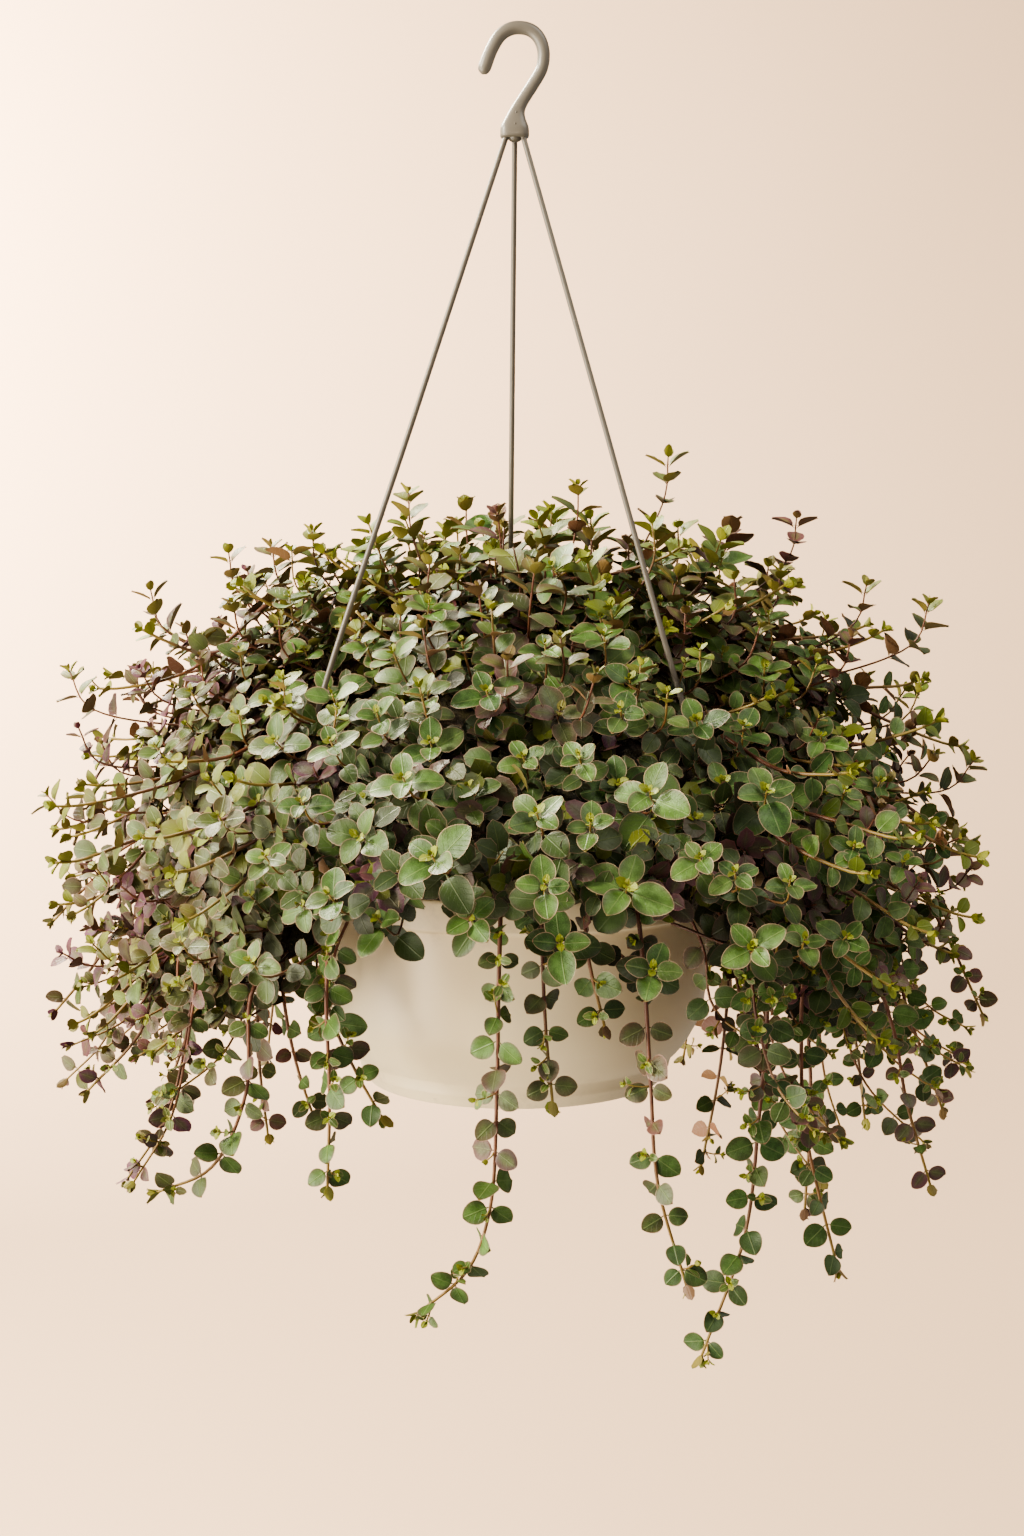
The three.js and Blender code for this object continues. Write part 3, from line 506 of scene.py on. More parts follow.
def make_leaf_back(pattern):
    """The underside: olive to mauve, with raised veins, and painted shade on those further in."""
    material, g, shader = new_material("leaf_back", Specular_IOR_Level=0.35)
    p = use_group(g, pattern, Mottle_Scale=1.1, Margin_Width=0.5)
    age, tone, blush, depth = (g.trait(n) for n in ("age", "tone", "blush", "depth"))
    colour = g.blend(g.spread(tone, 0.2, 0.8), "#824c33", "#787a18")
    colour = g.blend(g.times(p["Mottle"], 0.55), colour, "#8a6a40")
    colour = g.blend(g.times(p["Veins"], 0.3), colour, "#a98f7a")
    colour = g.blend(g.spread(age, 0.6, 0.1), colour, "#7c7d08")
    colour = g.blend(blush, colour, "#54202c")
    colour = g.blend(g.times(p["Margin"], g.spread(age, 0.25, 0.7, 0.06, 0.55)), colour,
                     "#c4a08c")
    # Painted shade: undersides further in are darkened towards near-black
    colour = g.blend(depth, colour, g.blend(0.8, colour, "#170e05"))
    relief = g.times(p["Relief"], -1.0)
    g.surface(shader, colour, g.spread(p["Mottle"], 0.2, 0.9, 0.6, 0.48), g.bump(relief, 0.0003, 0.5))
    return material


def make_stem():
    """Reddish-brown stems, tan to yellow-green towards their tips, with painted shade further in."""
    material, g, shader = new_material("stem", Specular_IOR_Level=0.3)
    age, tone, depth = (g.trait(n) for n in ("age", "tone", "depth"))
    streaks = g.noise(g.place(), 120.0, 3.0, 0.6)
    old = g.blend(tone, "#431e0f", "#63341c")
    colour = g.blend(g.spread(age, 0.6, 0.05), old, "#7a6a1e")
    colour = g.blend(g.spread(streaks, 0.35, 0.75, 0.0, 0.25), colour, "#84542f")
    # Painted shade: stems further in are darkened
    colour = g.blend(depth, colour, g.blend(0.6, colour, "#1c1008"))
    g.surface(shader, colour, g.spread(streaks, 0.2, 0.8, 0.58, 0.42), g.bump(streaks, 0.0002, 0.5))
    return material


def make_thicket():
    """The dark inside of the mound: matted stems and leaves painted dark as shade, with painted light towards
    its top.
    """
    material, g, shader = new_material("thicket", Specular_IOR_Level=0.2)
    place = g.place()
    stems = g.noise(place, 130.0, 5.0, 0.7)
    patches = g.noise(place, 40.0, 2.0, 0.5)
    # Near-black browns: stems and leaves whose darkness is painted shade
    colour = g.blend(g.spread(stems, 0.4, 0.62), "#0e0b04", "#2e2a0c")
    colour = g.blend(g.spread(patches, 0.45, 0.7, 0.0, 0.7), colour, "#2a1a14")
    # Painted light: lighter towards the top, at the crown
    colour = g.blend(g.spread(g.height(place), -0.42, -0.34, 0.0, 0.65), colour, "#5b4a1e")
    g.surface(shader, colour, g.spread(stems, 0.3, 0.7, 0.95, 0.8), g.bump(stems, 0.006, 1.0))
    return material


def make_moulded_surface():
    """Fine texture, soft colour drift and rubbed marks of moulded plastic."""
    group, entry, leave = new_group(
        "moulded surface",
        [("Vector", "NodeSocketVector", None), ("Grain Scale", "NodeSocketFloat", 900.0)],
        [("Drift", "NodeSocketFloat"), ("Grain", "NodeSocketFloat"), ("Rubs", "NodeSocketFloat")],
    )
    g = Graph(group)
    place = entry.outputs["Vector"]
    drift = g.noise(place, 9.0, 3.0, 0.5)
    grain = g.noise(place, entry.outputs["Grain Scale"], 2.0, 0.6)
    stretched = g.add("ShaderNodeVectorMath", settings={"operation": "MULTIPLY"}, _0=place,
                      _1=(60.0, 60.0, 420.0))
    rubs = g.spread(g.noise(stretched, 1.0, 4.0, 0.65), 0.62, 0.78)
    for name, value in (("Drift", drift), ("Grain", grain), ("Rubs", rubs)):
        g.tree.links.new(value, leave.inputs[name])
    return group


def make_pot_plastic(surface):
    """Cream satin plastic, a little soiled under the rim and round the foot."""
    material, g, shader = new_material("pot_plastic", Specular_IOR_Level=0.5)
    place = g.place()
    s = use_group(g, surface, Vector=place, Grain_Scale=1400.0)
    height = g.height(place)
    under_rim = g.spread(height, -0.545, -0.518)
    round_foot = g.spread(height, -0.600, -0.628)
    colour = g.blend(g.spread(s["Drift"], 0.3, 0.7), "#efd4a3", "#f4deb2")
    soil = g.times(g.spread(g.noise(place, 55.0, 5.0, 0.68), 0.5, 0.75),
                   g.maths("MAXIMUM", under_rim, round_foot))
    colour = g.blend(g.times(soil, 0.35), colour, "#a58d6d")
    colour = g.blend(g.times(s["Rubs"], 0.12), colour, "#f3ece0")
    rough = g.maths("ADD", g.spread(s["Drift"], 0.3, 0.7, 0.36, 0.46), g.times(soil, 0.25))
    relief = g.maths("ADD", s["Grain"], g.times(s["Drift"], 6.0))
    g.surface(shader, colour, rough, g.bump(relief, 0.00012, 0.5))
    return material


def make_hanger_plastic(surface):
    """Warm light-grey satin plastic of the hook and strands, with the strands painted darker below the cap as
    painted shade.
    """
    material, g, shader = new_material("hanger_plastic", Specular_IOR_Level=0.45)
    place = g.place()
    s = use_group(g, surface, Vector=place, Grain_Scale=1800.0)
    # Painted shade: darker below the cap, down the strands
    shade_below_cap = g.spread(g.height(place), -0.0605, -0.064, 0.0, 0.65)
    colour = g.blend(g.spread(s["Drift"], 0.3, 0.7), "#544d43", "#60594e")
    colour = g.blend(shade_below_cap, colour, "#463e33")
    colour = g.blend(g.times(s["Rubs"], 0.3), colour, "#a89c8a")
    g.surface(shader, colour, g.spread(s["Grain"], 0.3, 0.7, 0.36, 0.46), g.bump(s["Grain"], 0.00008, 0.4))
    return material


def make_potting_mix():
    """Dark crumbly mix with paler bark and grains of perlite."""
    material, g, shader = new_material("potting_mix", Specular_IOR_Level=0.2)
    place = g.place()
    crumbs = g.noise(place, 260.0, 6.0, 0.7)
    cells = g.add("ShaderNodeTexVoronoi", Vector=place, Scale=420.0)
    colour = g.blend(g.spread(crumbs, 0.35, 0.65), "#1d1410", "#4a3424")
    perlite = g.times(g.spread(cells, 0.16, 0.08), g.spread(crumbs, 0.5, 0.6))
    colour = g.blend(perlite, colour, "#c9c0b2")
    g.surface(shader, colour, g.spread(crumbs, 0.3, 0.7, 0.95, 0.8), g.bump(crumbs, 0.003, 0.9))
    return material


def make_studio():
    """Plain warm backdrop."""
    material, g, shader = new_material("studio", Specular_IOR_Level=0.1)
    drift = g.noise(g.place(), 0.6, 1.0, 0.4)
    colour = g.blend(g.spread(drift, 0.3, 0.7), "#d2b08e", "#d6b493")
    g.surface(shader, colour, g.spread(drift, 0.3, 0.7, 0.9, 0.95))
    return material


leaf_pattern = make_leaf_pattern()
moulded_surface = make_moulded_surface()
LEAF_FACE = make_leaf_face(leaf_pattern)
LEAF_BACK = make_leaf_back(leaf_pattern)
STEM = make_stem()
THICKET = make_thicket()
POT_PLASTIC = make_pot_plastic(moulded_surface)
HANGER_PLASTIC = make_hanger_plastic(moulded_surface)
POTTING_MIX = make_potting_mix()

# Pot


def lathe(profile, steps):
    """Points and faces of a turned shape whose profile starts and ends on the axis."""
    inner = profile[1:-1]
    points = [polar(r, 360 * k / steps, z) for r, z in inner for k in range(steps)]
    faces = []
    for j in range(len(inner) - 1):
        for k in range(steps):
            n = (k + 1) % steps
            faces.append([j * steps + k, j * steps + n, (j + 1) * steps + n, (j + 1) * steps + k])
    for z, row, turned in ((profile[0][1], 0, True), (profile[-1][1], len(inner) - 1, False)):
        points.append(np.array([0, 0, z]))
        hub = len(points) - 1
        for k in range(steps):
            a, b = row * steps + k, row * steps + (k + 1) % steps
            faces.append([hub, b, a] if turned else [hub, a, b])
    return np.array(points), faces


def ear(azimuth):
    """A rounded tab with a hole in it, which a strand passes through."""
    steps = 36
    half = EAR_WIDTH / 2
    turn = np.arange(steps) * 2 * math.pi / steps
    hole = np.stack([EAR_HOLE * np.cos(turn), EAR_HOLE * np.sin(turn)], axis=1)
    outline = np.stack([half * np.cos(turn), half * np.sin(turn)], axis=1)
    outline[outline[:, 1] < 0, 1] = -(EAR_CENTRE - RIM_RADIUS + 3)
    outline[turn > math.pi + 1e-6, 0] = np.linspace(-half, half, int((turn > math.pi + 1e-6).sum()))
    rings = []
    for flat, z in ((hole, EAR_TOP), (outline * 0.985, EAR_TOP), (outline, EAR_TOP - 0.4),
                    (outline, EAR_FLOOR + 0.4), (outline * 0.985, EAR_FLOOR), (hole, EAR_FLOOR)):
        rings.append(np.column_stack([flat[:, 0], -(EAR_CENTRE + flat[:, 1]), np.full(steps, z)]))
    points = np.concatenate(rings)
    a = math.radians(azimuth)
    points = points @ np.array([[math.cos(a), math.sin(a), 0], [-math.sin(a), math.cos(a), 0], [0, 0, 1]])
    faces = []
    count = len(rings)
    for j in range(count):
        for k in range(steps):
            n = (k + 1) % steps
            b = ((j + 1) % count) * steps
            faces.append([j * steps + k, b + k, b + n, j * steps + n])
    return points, faces


def join(parts):
    """Points and faces of several shapes as one."""
    points, faces, start = [], [], 0
    for p, f in parts:
        points.append(np.asarray(p))
        faces.extend([[i + start for i in face] for face in f])
        start += len(p)
    return np.concatenate(points), faces


def make_pot():
    """The turned bowl with its drain holes bored and its ears joined on."""
    bowl = mesh_piece("pot_bowl", *lathe(POT_PROFILE, 144), POT_PLASTIC)
    drills = []
    for i in range(DRAINS):
        centre = polar(DRAIN_RING, i * 360 / DRAINS, 0)
        line = np.array([centre + [0, 0, POT_BOTTOM - 4], centre + [0, 0, POT_BOTTOM + 10]])
        drills.append(tube(line, [DRAIN_RADIUS] * 2, 24))
    drill = mesh_piece("drill", *join(drills), POT_PLASTIC)
    cut = bowl.modifiers.new("drains", "BOOLEAN")
    cut.object = drill
    cut.operation = "DIFFERENCE"
    cut.solver = "EXACT"
    graph = bpy.context.evaluated_depsgraph_get()
    bored = bpy.data.meshes.new_from_object(bowl.evaluated_get(graph))
    for spare in (bowl, drill):
        bpy.data.objects.remove(spare)
    base_points = [v.co / MM for v in bored.vertices]
    base_faces = [list(f.vertices) for f in bored.polygons]
    ears = [ear(azimuth) for azimuth, _, _ in STRANDS.values()]
    pot = mesh_piece("pot_shell", *join([(base_points, base_faces)] + ears), POT_PLASTIC)
    sharpen(pot, 50)
    dress(pot, "pot")


def make_soil():
    """The potting mix, crumbly on top, that fills the pot to a little under its rim."""
    steps, rows = 120, 26
    rise = np.random.default_rng(SOIL_SEED)
    rings = [(r, SOIL_TOP + SOIL_CROWN * (1 - (r / 117.6) ** 2)) for r in np.linspace(4, 116, rows)]
    points = []
    for r, z in rings:
        for k in range(steps):
            points.append(polar(r + rise.normal(0, 0.6), 360 * k / steps, z + rise.normal(0, 0.8)))
    for r, z in SOIL_PROFILE:
        points += [polar(r, 360 * k / steps, z) for k in range(steps)]
    count = rows + len(SOIL_PROFILE)
    faces = ring_faces(count, steps)
    faces.append(list(range(steps)))
    faces.append([(count - 1) * steps + k for k in range(steps)][::-1])
    soil = mesh_piece("soil_mix", points, faces, POTTING_MIX)
    dress(soil, "soil")


# Strands


def strand_route(azimuth, top, bend):
    """The strand's line, from its socket in the cap to the head under its ear."""
    slope = (bend[0][0] - top) / (CAP_BOTTOM - bend[0][1])
    foot = EAR_FLOOR - HEAD_HEIGHT
    flat = [(top - slope * (SOCKET_DEPTH - 2), CAP_BOTTOM + SOCKET_DEPTH - 2),
            ((top + bend[0][0]) / 2, (CAP_BOTTOM + bend[0][1]) / 2), *bend, (EAR_CENTRE, RIM_TOP + 5),
            (EAR_CENTRE, foot)]
    return np.array([polar(r, azimuth, z) for r, z in flat])


STRAND_LINES = {name: smooth_line(strand_route(*spec), 4) for name, spec in STRANDS.items()}


def make_strands():
    """Each strand's bar, with the head that holds it under its ear."""
    for name, line in STRAND_LINES.items():
        share = np.linspace(0, 1, len(line))
        radii = lerp(STRAND_TOP_RADIUS, STRAND_FOOT_RADIUS, np.clip(2 * share, 0, 1))
        bar = tube(line, radii, 16)
        foot = line[-1] * [1, 1, 0]
        head_line = np.array([foot + [0, 0, EAR_FLOOR - 0.4 + z] for z, _ in HEAD_PROFILE])
        head = tube(head_line, [radius for _, radius in HEAD_PROFILE], 24)
        strand = mesh_piece(f"{name}_plastic", *join([bar, head]), HANGER_PLASTIC)
        sharpen(strand, 55)
        dress(strand, name)


# Hook


def make_hook():
    """One loft from the hook's tip to the foot of its cap, with the boss below and its gate marks."""
    rows = smooth_line([(x, 0, z, w, d, q) for x, z, w, d, q in HOOK_SECTIONS], 0.9)
    line, half_width, half_depth, square = rows[:, :3], rows[:, 3], rows[:, 4], rows[:, 5]
    sides = 36
    turn = np.arange(sides) * 2 * math.pi / sides
    tangent = unit(np.gradient(line, axis=0))
    late = np.arange(len(line)) > len(line) / 2
    level = smoothstep(line[:, 2], -42, -52)[:, None] * late[:, None]
    tangent = unit(lerp(tangent, np.array([0, 0, -1.0]), level))
    across = np.cross(tangent, [0, 1, 0])
    c, s = np.cos(turn), np.sin(turn)
    rings = []
    for i in range(len(line)):
        x = half_width[i] * np.sign(c) * np.abs(c) ** square[i]
        y = half_depth[i] * np.sign(s) * np.abs(s) ** square[i]
        rings.append(line[i] + x[:, None] * across[i] + y[:, None] * np.array([0, 1, 0]))
    parts = [loft(np.array(rings))]
    boss = np.array([[0, -1, CAP_BOTTOM + z] for z in (1, -0.9, -1.8, -2.4, -2.7)])
    parts.append(tube(boss, [3.9, 3.8, 3.3, 2.2, 0.9], 28))
    for x, z, front in ((0.6, -46.5, 5.0), (0, -53.6, 7.0)):
        gate = np.array([[x, -front + 0.6, z], [x, -front - 0.1, z], [x, -front - 0.25, z]])
        parts.append(tube(gate, [0.55, 0.5, 0.3], 12))
    hook = mesh_piece("hook_moulding", *join(parts), HANGER_PLASTIC)
    sharpen(hook, 60)
    dress(hook, "hook")


# The mound's surface


def mound_reach(azimuth):
    """How far the mound reaches out at its base."""
    c = math.cos(math.radians(azimuth))
    return lerp(MOUND_SIDE, MOUND_FRONT if c > 0 else MOUND_REAR, abs(c) ** 1.6)


def off_front(azimuth):
    """Degrees away from the front, to either side."""
    return abs((azimuth + 180) % 360 - 180)


def mound_power(azimuth):
    """How square the mound's outline is: a slope at the front, a shoulder at the sides and back."""
    return lerp(1.2, 2.3, ease(off_front(azimuth), 56, 92))


def mound_point(azimuth, climb, share=1.0):
    """A point of the mound by its azimuth round the crown and its climb, from 0 to 1 at the crown."""
    power = mound_power(azimuth)
    t = climb * math.pi / 2
    radius = mound_reach(azimuth) * share * max(0.0, math.cos(t)) ** (2 / power)
    height = MOUND_HEIGHT * share * math.sin(t) ** (2 / power)
    return polar(radius, azimuth, MOUND_BASE + height) + np.array([0, MOUND_BACK, 0])


def surface_normal(p):
    """The mound's outward direction near a point."""
    lift = max(0, p[2] - MOUND_BASE) / MOUND_HEIGHT**2
    return unit([p[0] / MOUND_SIDE**2, (p[1] - MOUND_BACK) / MOUND_FRONT**2, lift])


def skirt_bottom(azimuth):
    """The height down to which the mound hangs over the rim."""
    return lerp(SKIRT_FRONT, SKIRT_SIDE, ease(off_front(azimuth), SKIRT_OPENS, SKIRT_CLOSES))


def clump_at(p):
    """Which clump a point belongs to, counted from 0."""
    azimuth = math.degrees(math.atan2(p[0], -p[1]))
    turned = (azimuth - CLUMP_CUTS[0]) % 360 + CLUMP_CUTS[0]
    return sum(cut <= turned for cut in CLUMP_CUTS) - 1


def in_core(p):
    """Whether a point lies within the thicket that the shoots stand out of."""
    azimuth = math.degrees(math.atan2(p[0], MOUND_BACK - p[1]))
    power = mound_power(azimuth)
    radius = math.hypot(p[0], p[1] - MOUND_BACK) / (mound_reach(azimuth) * CORE_SHARE)
    height = max(0, p[2] - MOUND_BASE) / (MOUND_HEIGHT * CORE_SHARE)
    return radius**power + height**power < 1


# Leaves and stems


def blade_shape(u, foot, tip):
    """Half width along a blade as a share of its widest, rounder at whichever end has the lower power."""
    widest = foot / (foot + tip)
    top = widest**foot * (1 - widest) ** tip
    return np.clip(u, 0, 1) ** foot * (1 - np.clip(u, 0, 1)) ** tip / top


class BladeGrid:
    """The vertices and faces of one side of a blade: the petiole's foot, rows across and the tip."""

    def __init__(self, stations, columns):
        wide = len(columns)
        self.u = np.concatenate([[-PETIOLE_SHARE], np.repeat(stations, wide), [1.0]])
        self.v = np.concatenate([[0], np.tile(columns, len(stations)), [0]])
        self.ends = np.zeros(len(self.u), bool)
        self.ends[[0, -1]] = True
        faces = [[0, 1 + k + 1, 1 + k] for k in range(wide - 1)]
        for j in range(len(stations) - 1):
            a = 1 + j * wide
            for k in range(wide - 1):
                faces.append([a + k, a + k + 1, a + wide + k + 1, a + wide + k])
        last = 1 + (len(stations) - 1) * wide
        faces += [[last + k, last + k + 1, last + wide] for k in range(wide - 1)]
        self.faces = faces


PETIOLE_SHARE = 0.17
MARGIN_WAVE = 0.045
HALF_THICKNESS = 0.26
GRIDS = {
    "fine": BladeGrid([0, 0.04, 0.12, 0.23, 0.36, 0.5, 0.64, 0.78, 0.89, 0.965], [-1, -0.66, 0, 0.66, 1]),
    "round": BladeGrid([0, 0.05, 0.16, 0.33, 0.52, 0.71, 0.87, 0.965], [-1, 0, 1]),
    "plain": BladeGrid([0, 0.08, 0.27, 0.5, 0.74, 0.93], [-1, 0, 1]),
    "small": BladeGrid([0, 0.12, 0.45, 0.82], [-1, 0, 1]),
}
# The traits that the colours need, among them how much painted shade a leaf or stem gets
LEAF_TRAITS = ("age", "blush", "depth", "tone", "along", "across", "edge")

# Which of a foliage piece's materials a face has
FACE_MARK, BACK_MARK, STEM_MARK, THICKET_MARK = range(4)


class Foliage:
    """Collects the leaves and stems of one piece and makes its mesh."""

    def __init__(self):
        self.leaves = {grade: [] for grade in GRIDS}
        self.stems = []

    def leaf(self, base, along, face, length, width, age, blush, depth, tone, grade, fold, curl, cup):
        """One leaf: its foot, heading and facing, its size, what its colours need, and its form."""
        self.leaves[grade].append((*base, *along, *face, length, width, age, blush, depth, fold, curl, cup,
                                   tone, random.random()))

    def stem(self, line, start, end, age=(1.0, 0.0), depth=(0.0, 0.0), sides=6):
        self.stems.append((line, start, end, age, depth, sides, random.random()))

    def blades(self, rows, grid):
        """Both sides of every leaf: points, faces, the side of each face and the traits of each point."""
        u, v = grid.u, grid.v
        d = np.array(rows)
        base, along, face = d[:, 0:3], unit(d[:, 3:6]), d[:, 6:9]
        face = unit(face - along * (face * along).sum(1, keepdims=True))
        side = np.cross(face, along)
        length, width, age, blush, depth, fold, curl, cup, tone, phase = (d[:, k, None] for k in range(9, 19))
        slim = smoothstep(width / length, 0.38, 0.31)
        profile = lerp(blade_shape(u, 0.46, 0.62), blade_shape(u, 0.75, 0.85), slim)
        profile = np.where(grid.ends, 0.0, np.maximum(profile, 0.07))
        half = width * profile
        across = v * half
        x = u * length
        wave = MARGIN_WAVE * width * np.sin(2 * math.pi * (1.3 * u + phase)) * v * np.abs(v) * (u > 0)
        lift = np.abs(across) * np.sin(fold) + cup * across**2 / width + wave
        spread = across * np.cos(fold)
        angle = curl * np.clip(u, 0, 1)
        bend = np.where(np.abs(curl) < 1e-3, 1e-3, curl)
        px = np.where(u < 0, x, length * np.sin(angle) / bend)
        pz = np.where(u < 0, 0, -length * (1 - np.cos(angle)) / bend)
        thick = HALF_THICKNESS * np.minimum(1, length / 12) * (1 + 1.3 * (v == 0))
        thick = thick * np.where(np.abs(v) > 0.99, 0.15, 1) * np.where(grid.ends, 1.4, 1)
        skins = []
        for sign in (1, -1):
            z = lift + sign * thick
            qx = px + z * np.sin(angle) + PETIOLE_SHARE * length
            qz = pz + z * np.cos(angle)
            skins.append(base[:, None] + along[:, None] * qx[..., None] + side[:, None] * spread[..., None]
                         + face[:, None] * qz[..., None])
        size = len(u)
        edge = np.where(u < 0, 1.5, np.where(grid.ends, 0, (1 - np.abs(v)) * half))
        values = (age, blush, depth, tone, x, across, edge)
        traits = {}
        for key, value in zip(LEAF_TRAITS, values):
            value = value + np.zeros((len(rows), size))
            traits[key] = np.concatenate([value, value], axis=1).ravel()
        starts = np.arange(len(rows)) * 2 * size
        loops, totals, marks = [], [], []
        turned = [[i + size for i in f[::-1]] for f in grid.faces]
        for mark, group in ((FACE_MARK, grid.faces), (BACK_MARK, turned)):
            for n in (3, 4):
                chosen = np.array([f for f in group if len(f) == n])
                loops.append((starts[:, None, None] + chosen[None]).reshape(-1))
                totals.append(np.full(len(rows) * len(chosen), n))
                marks.append(np.full(len(rows) * len(chosen), mark))
        points = np.concatenate(skins, axis=1).reshape(-1, 3)
        return points, np.concatenate(loops), np.concatenate(totals), np.concatenate(marks), traits

    def bars(self):
        """Points, faces and traits of every stem."""
        points, loops, totals, start = [], [], [], 0
        traits = {key: [] for key in LEAF_TRAITS}
        for line, r0, r1, age, depth, sides, tone in self.stems:
            share = np.linspace(0, 1, len(line))
            p, faces = tube(line, lerp(r0, r1, share), sides)
            rings = np.repeat(share, sides)
            points.append(p)
            for f in faces:
                loops.extend([i + start for i in f])
                totals.append(len(f))
            for key in LEAF_TRAITS:
                traits[key].append(np.zeros(len(p)))
            traits["age"][-1] += lerp(age[0], age[1], rings)
            # Painted shade along the stem, from its root to its tip
            traits["depth"][-1] += lerp(depth[0], depth[1], rings)
            traits["tone"][-1] += tone
            start += len(p)
        traits = {key: np.concatenate(t) for key, t in traits.items()}
        marks = np.full(len(totals), STEM_MARK)
        return np.concatenate(points), np.array(loops), np.array(totals), marks, traits

    def build(self, name, extra=()):
        """One mesh object with the leaf, underside and stem materials."""
        chunks = [self.blades(rows, GRIDS[grade]) for grade, rows in self.leaves.items() if rows]
        if self.stems:
            chunks.append(self.bars())
        chunks += extra
        points = np.concatenate([c[0] for c in chunks]) * MM
        offsets = np.cumsum([0] + [len(c[0]) for c in chunks[:-1]])
        loops = np.concatenate([c[1] + o for c, o in zip(chunks, offsets)])
        totals = np.concatenate([c[2] for c in chunks])
        marks = np.concatenate([c[3] for c in chunks])
        mesh = bpy.data.meshes.new(name)
        mesh.vertices.add(len(points))
        mesh.vertices.foreach_set("co", points.astype(np.float32).ravel())
        mesh.loops.add(len(loops))
        mesh.loops.foreach_set("vertex_index", loops.astype(np.int32))
        mesh.polygons.add(len(totals))
        mesh.polygons.foreach_set("loop_start", (np.cumsum(totals) - totals).astype(np.int32))
        mesh.polygons.foreach_set("material_index", marks.astype(np.int32))
        mesh.polygons.foreach_set("use_smooth", np.ones(len(totals), bool))
        for key in LEAF_TRAITS:
            values = np.concatenate([c[4][key] for c in chunks]).astype(np.float32)
            mesh.attributes.new(key, "FLOAT", "POINT").data.foreach_set("value", values)
        for material in (LEAF_FACE, LEAF_BACK, STEM, THICKET):
            mesh.materials.append(material)
        mesh.update()
        mesh.validate()
        return stand(name, mesh)


CAMERA_POINT = np.array(CAMERA_AT)
WINDOW_SIDE = unit(WINDOW)
SKY_SIDE = unit(SKY)
UP = np.array([0, 0, 1.0])


def hides_strand(p, margin):
    """Whether something at p would touch a strand, or stand before the stretch of it that shows."""
    for name, line in STRAND_LINES.items():
        if np.linalg.norm(line - p, axis=1).min() < margin:
            return True
        shown = line[line[:, 2] > STRAND_SHOWS_TO[name]]
        sight = p - CAMERA_POINT
        reach = shown - CAMERA_POINT
        nearer = (sight @ sight) < (reach * reach).sum(1)
        off = np.linalg.norm(np.cross(reach, sight), axis=1) / np.linalg.norm(reach, axis=1)
        if (nearer & (off < margin)).any():
            return True
    return False


def light_at(p):
    """Where leaves at a point turn to: the window at the front, outwards behind and up at the crown."""
    outward = unit([p[0], p[1] - MOUND_BACK, 0]) * 0.75 + UP * 0.66
    aim = lerp(unit(outward), WINDOW_SIDE, 0.8 * ease(-p[1], -110, 30))
    return unit(lerp(aim, SKY_SIDE, 0.75 * ease(p[2], -400, -335)))


def across_stem(tangent, angle):
    """A direction square to a stem, at an angle round it."""
    side = unit(np.cross(tangent, [0.31, 0.2, 0.93]))
    other = np.cross(tangent, side)
    return math.cos(angle) * side + math.sin(angle) * other


def stem_at(line, back):
    """The point and direction of a stem at a distance back from its tip."""
    length = np.concatenate([[0], np.cumsum(np.linalg.norm(np.diff(line, axis=0), axis=1))])
    at = max(0.0, length[-1] - back)
    point = np.array([np.interp(at, length, line[:, k]) for k in range(3)])
    i = int(np.clip(np.searchsorted(length, at), 1, len(line) - 1))
    return point, unit(line[i] - line[i - 1])


def sometimes(chance, low, high):
    """A random number in a range as often as the chance says, else none."""
    return random.uniform(low, high) if random.random() < chance else 0.0


def pair(foliage, at, tangent, across, length, slim, lean, light, turn, age, blush, depth, tone, grade,
         flat=1.0):
    """Two leaves on opposite sides of a stem, turned towards the light.

    Slim is half a leaf's width by its length, lean its angle from the stem in degrees, turn how far its
    face turns from the stem to the light, and flat scales its fold and curl.
    """
    window_side = ease(-at[0], 110, 240)
    sunned = 1 - 0.18 * window_side - 0.2 * ease(at[2], -370, -320)
    for sign in (1, -1):
        out = across * sign
        i = math.radians(lean + random.normal(0, 8))
        along = unit(math.cos(i) * tangent + math.sin(i) * out + random.normal(0, 0.09, 3))
        level = unit(math.sin(i) * tangent - math.cos(i) * out)
        wanted = unit(light - along * (light @ along))
        face = unit(lerp(level, wanted, turn) + random.normal(0, 0.11, 3))
        size = length * random.uniform(0.86, 1.1)
        width = size * slim * random.uniform(0.92, 1.06)
        tip = at + along * size * 1.15
        if hides_strand((at + tip) / 2, width + 1.5) or hides_strand(tip, 4):
            continue
        # Blush on the window side, and more on leaves with painted shade, which it browns
        ruddy = window_side * (0.2 + 0.4 * depth)
        own_blush = min(1.0, max(0.0, blush + random.normal(ruddy, 0.08 + 0.1 * window_side)))
        if grade == "plain" and at[1] < 30 and depth < 0.5:
            grade = "round"
        elif grade == "plain" and at[1] > 90:
            grade = "small"
        own_tone = float(np.clip(tone + random.normal(0, 0.16), 0, 1))
        fold = flat * random.uniform(0.06, 0.32)
        curl = flat * random.uniform(0.05, 0.5)
        cup = random.uniform(0.05, 0.2)
        # The painted shade is a little less on the window side
        foliage.leaf(at, along, face, size, width, age * sunned, own_blush, depth * (1 - 0.2 * window_side),
                     own_tone, grade, fold, curl, cup)


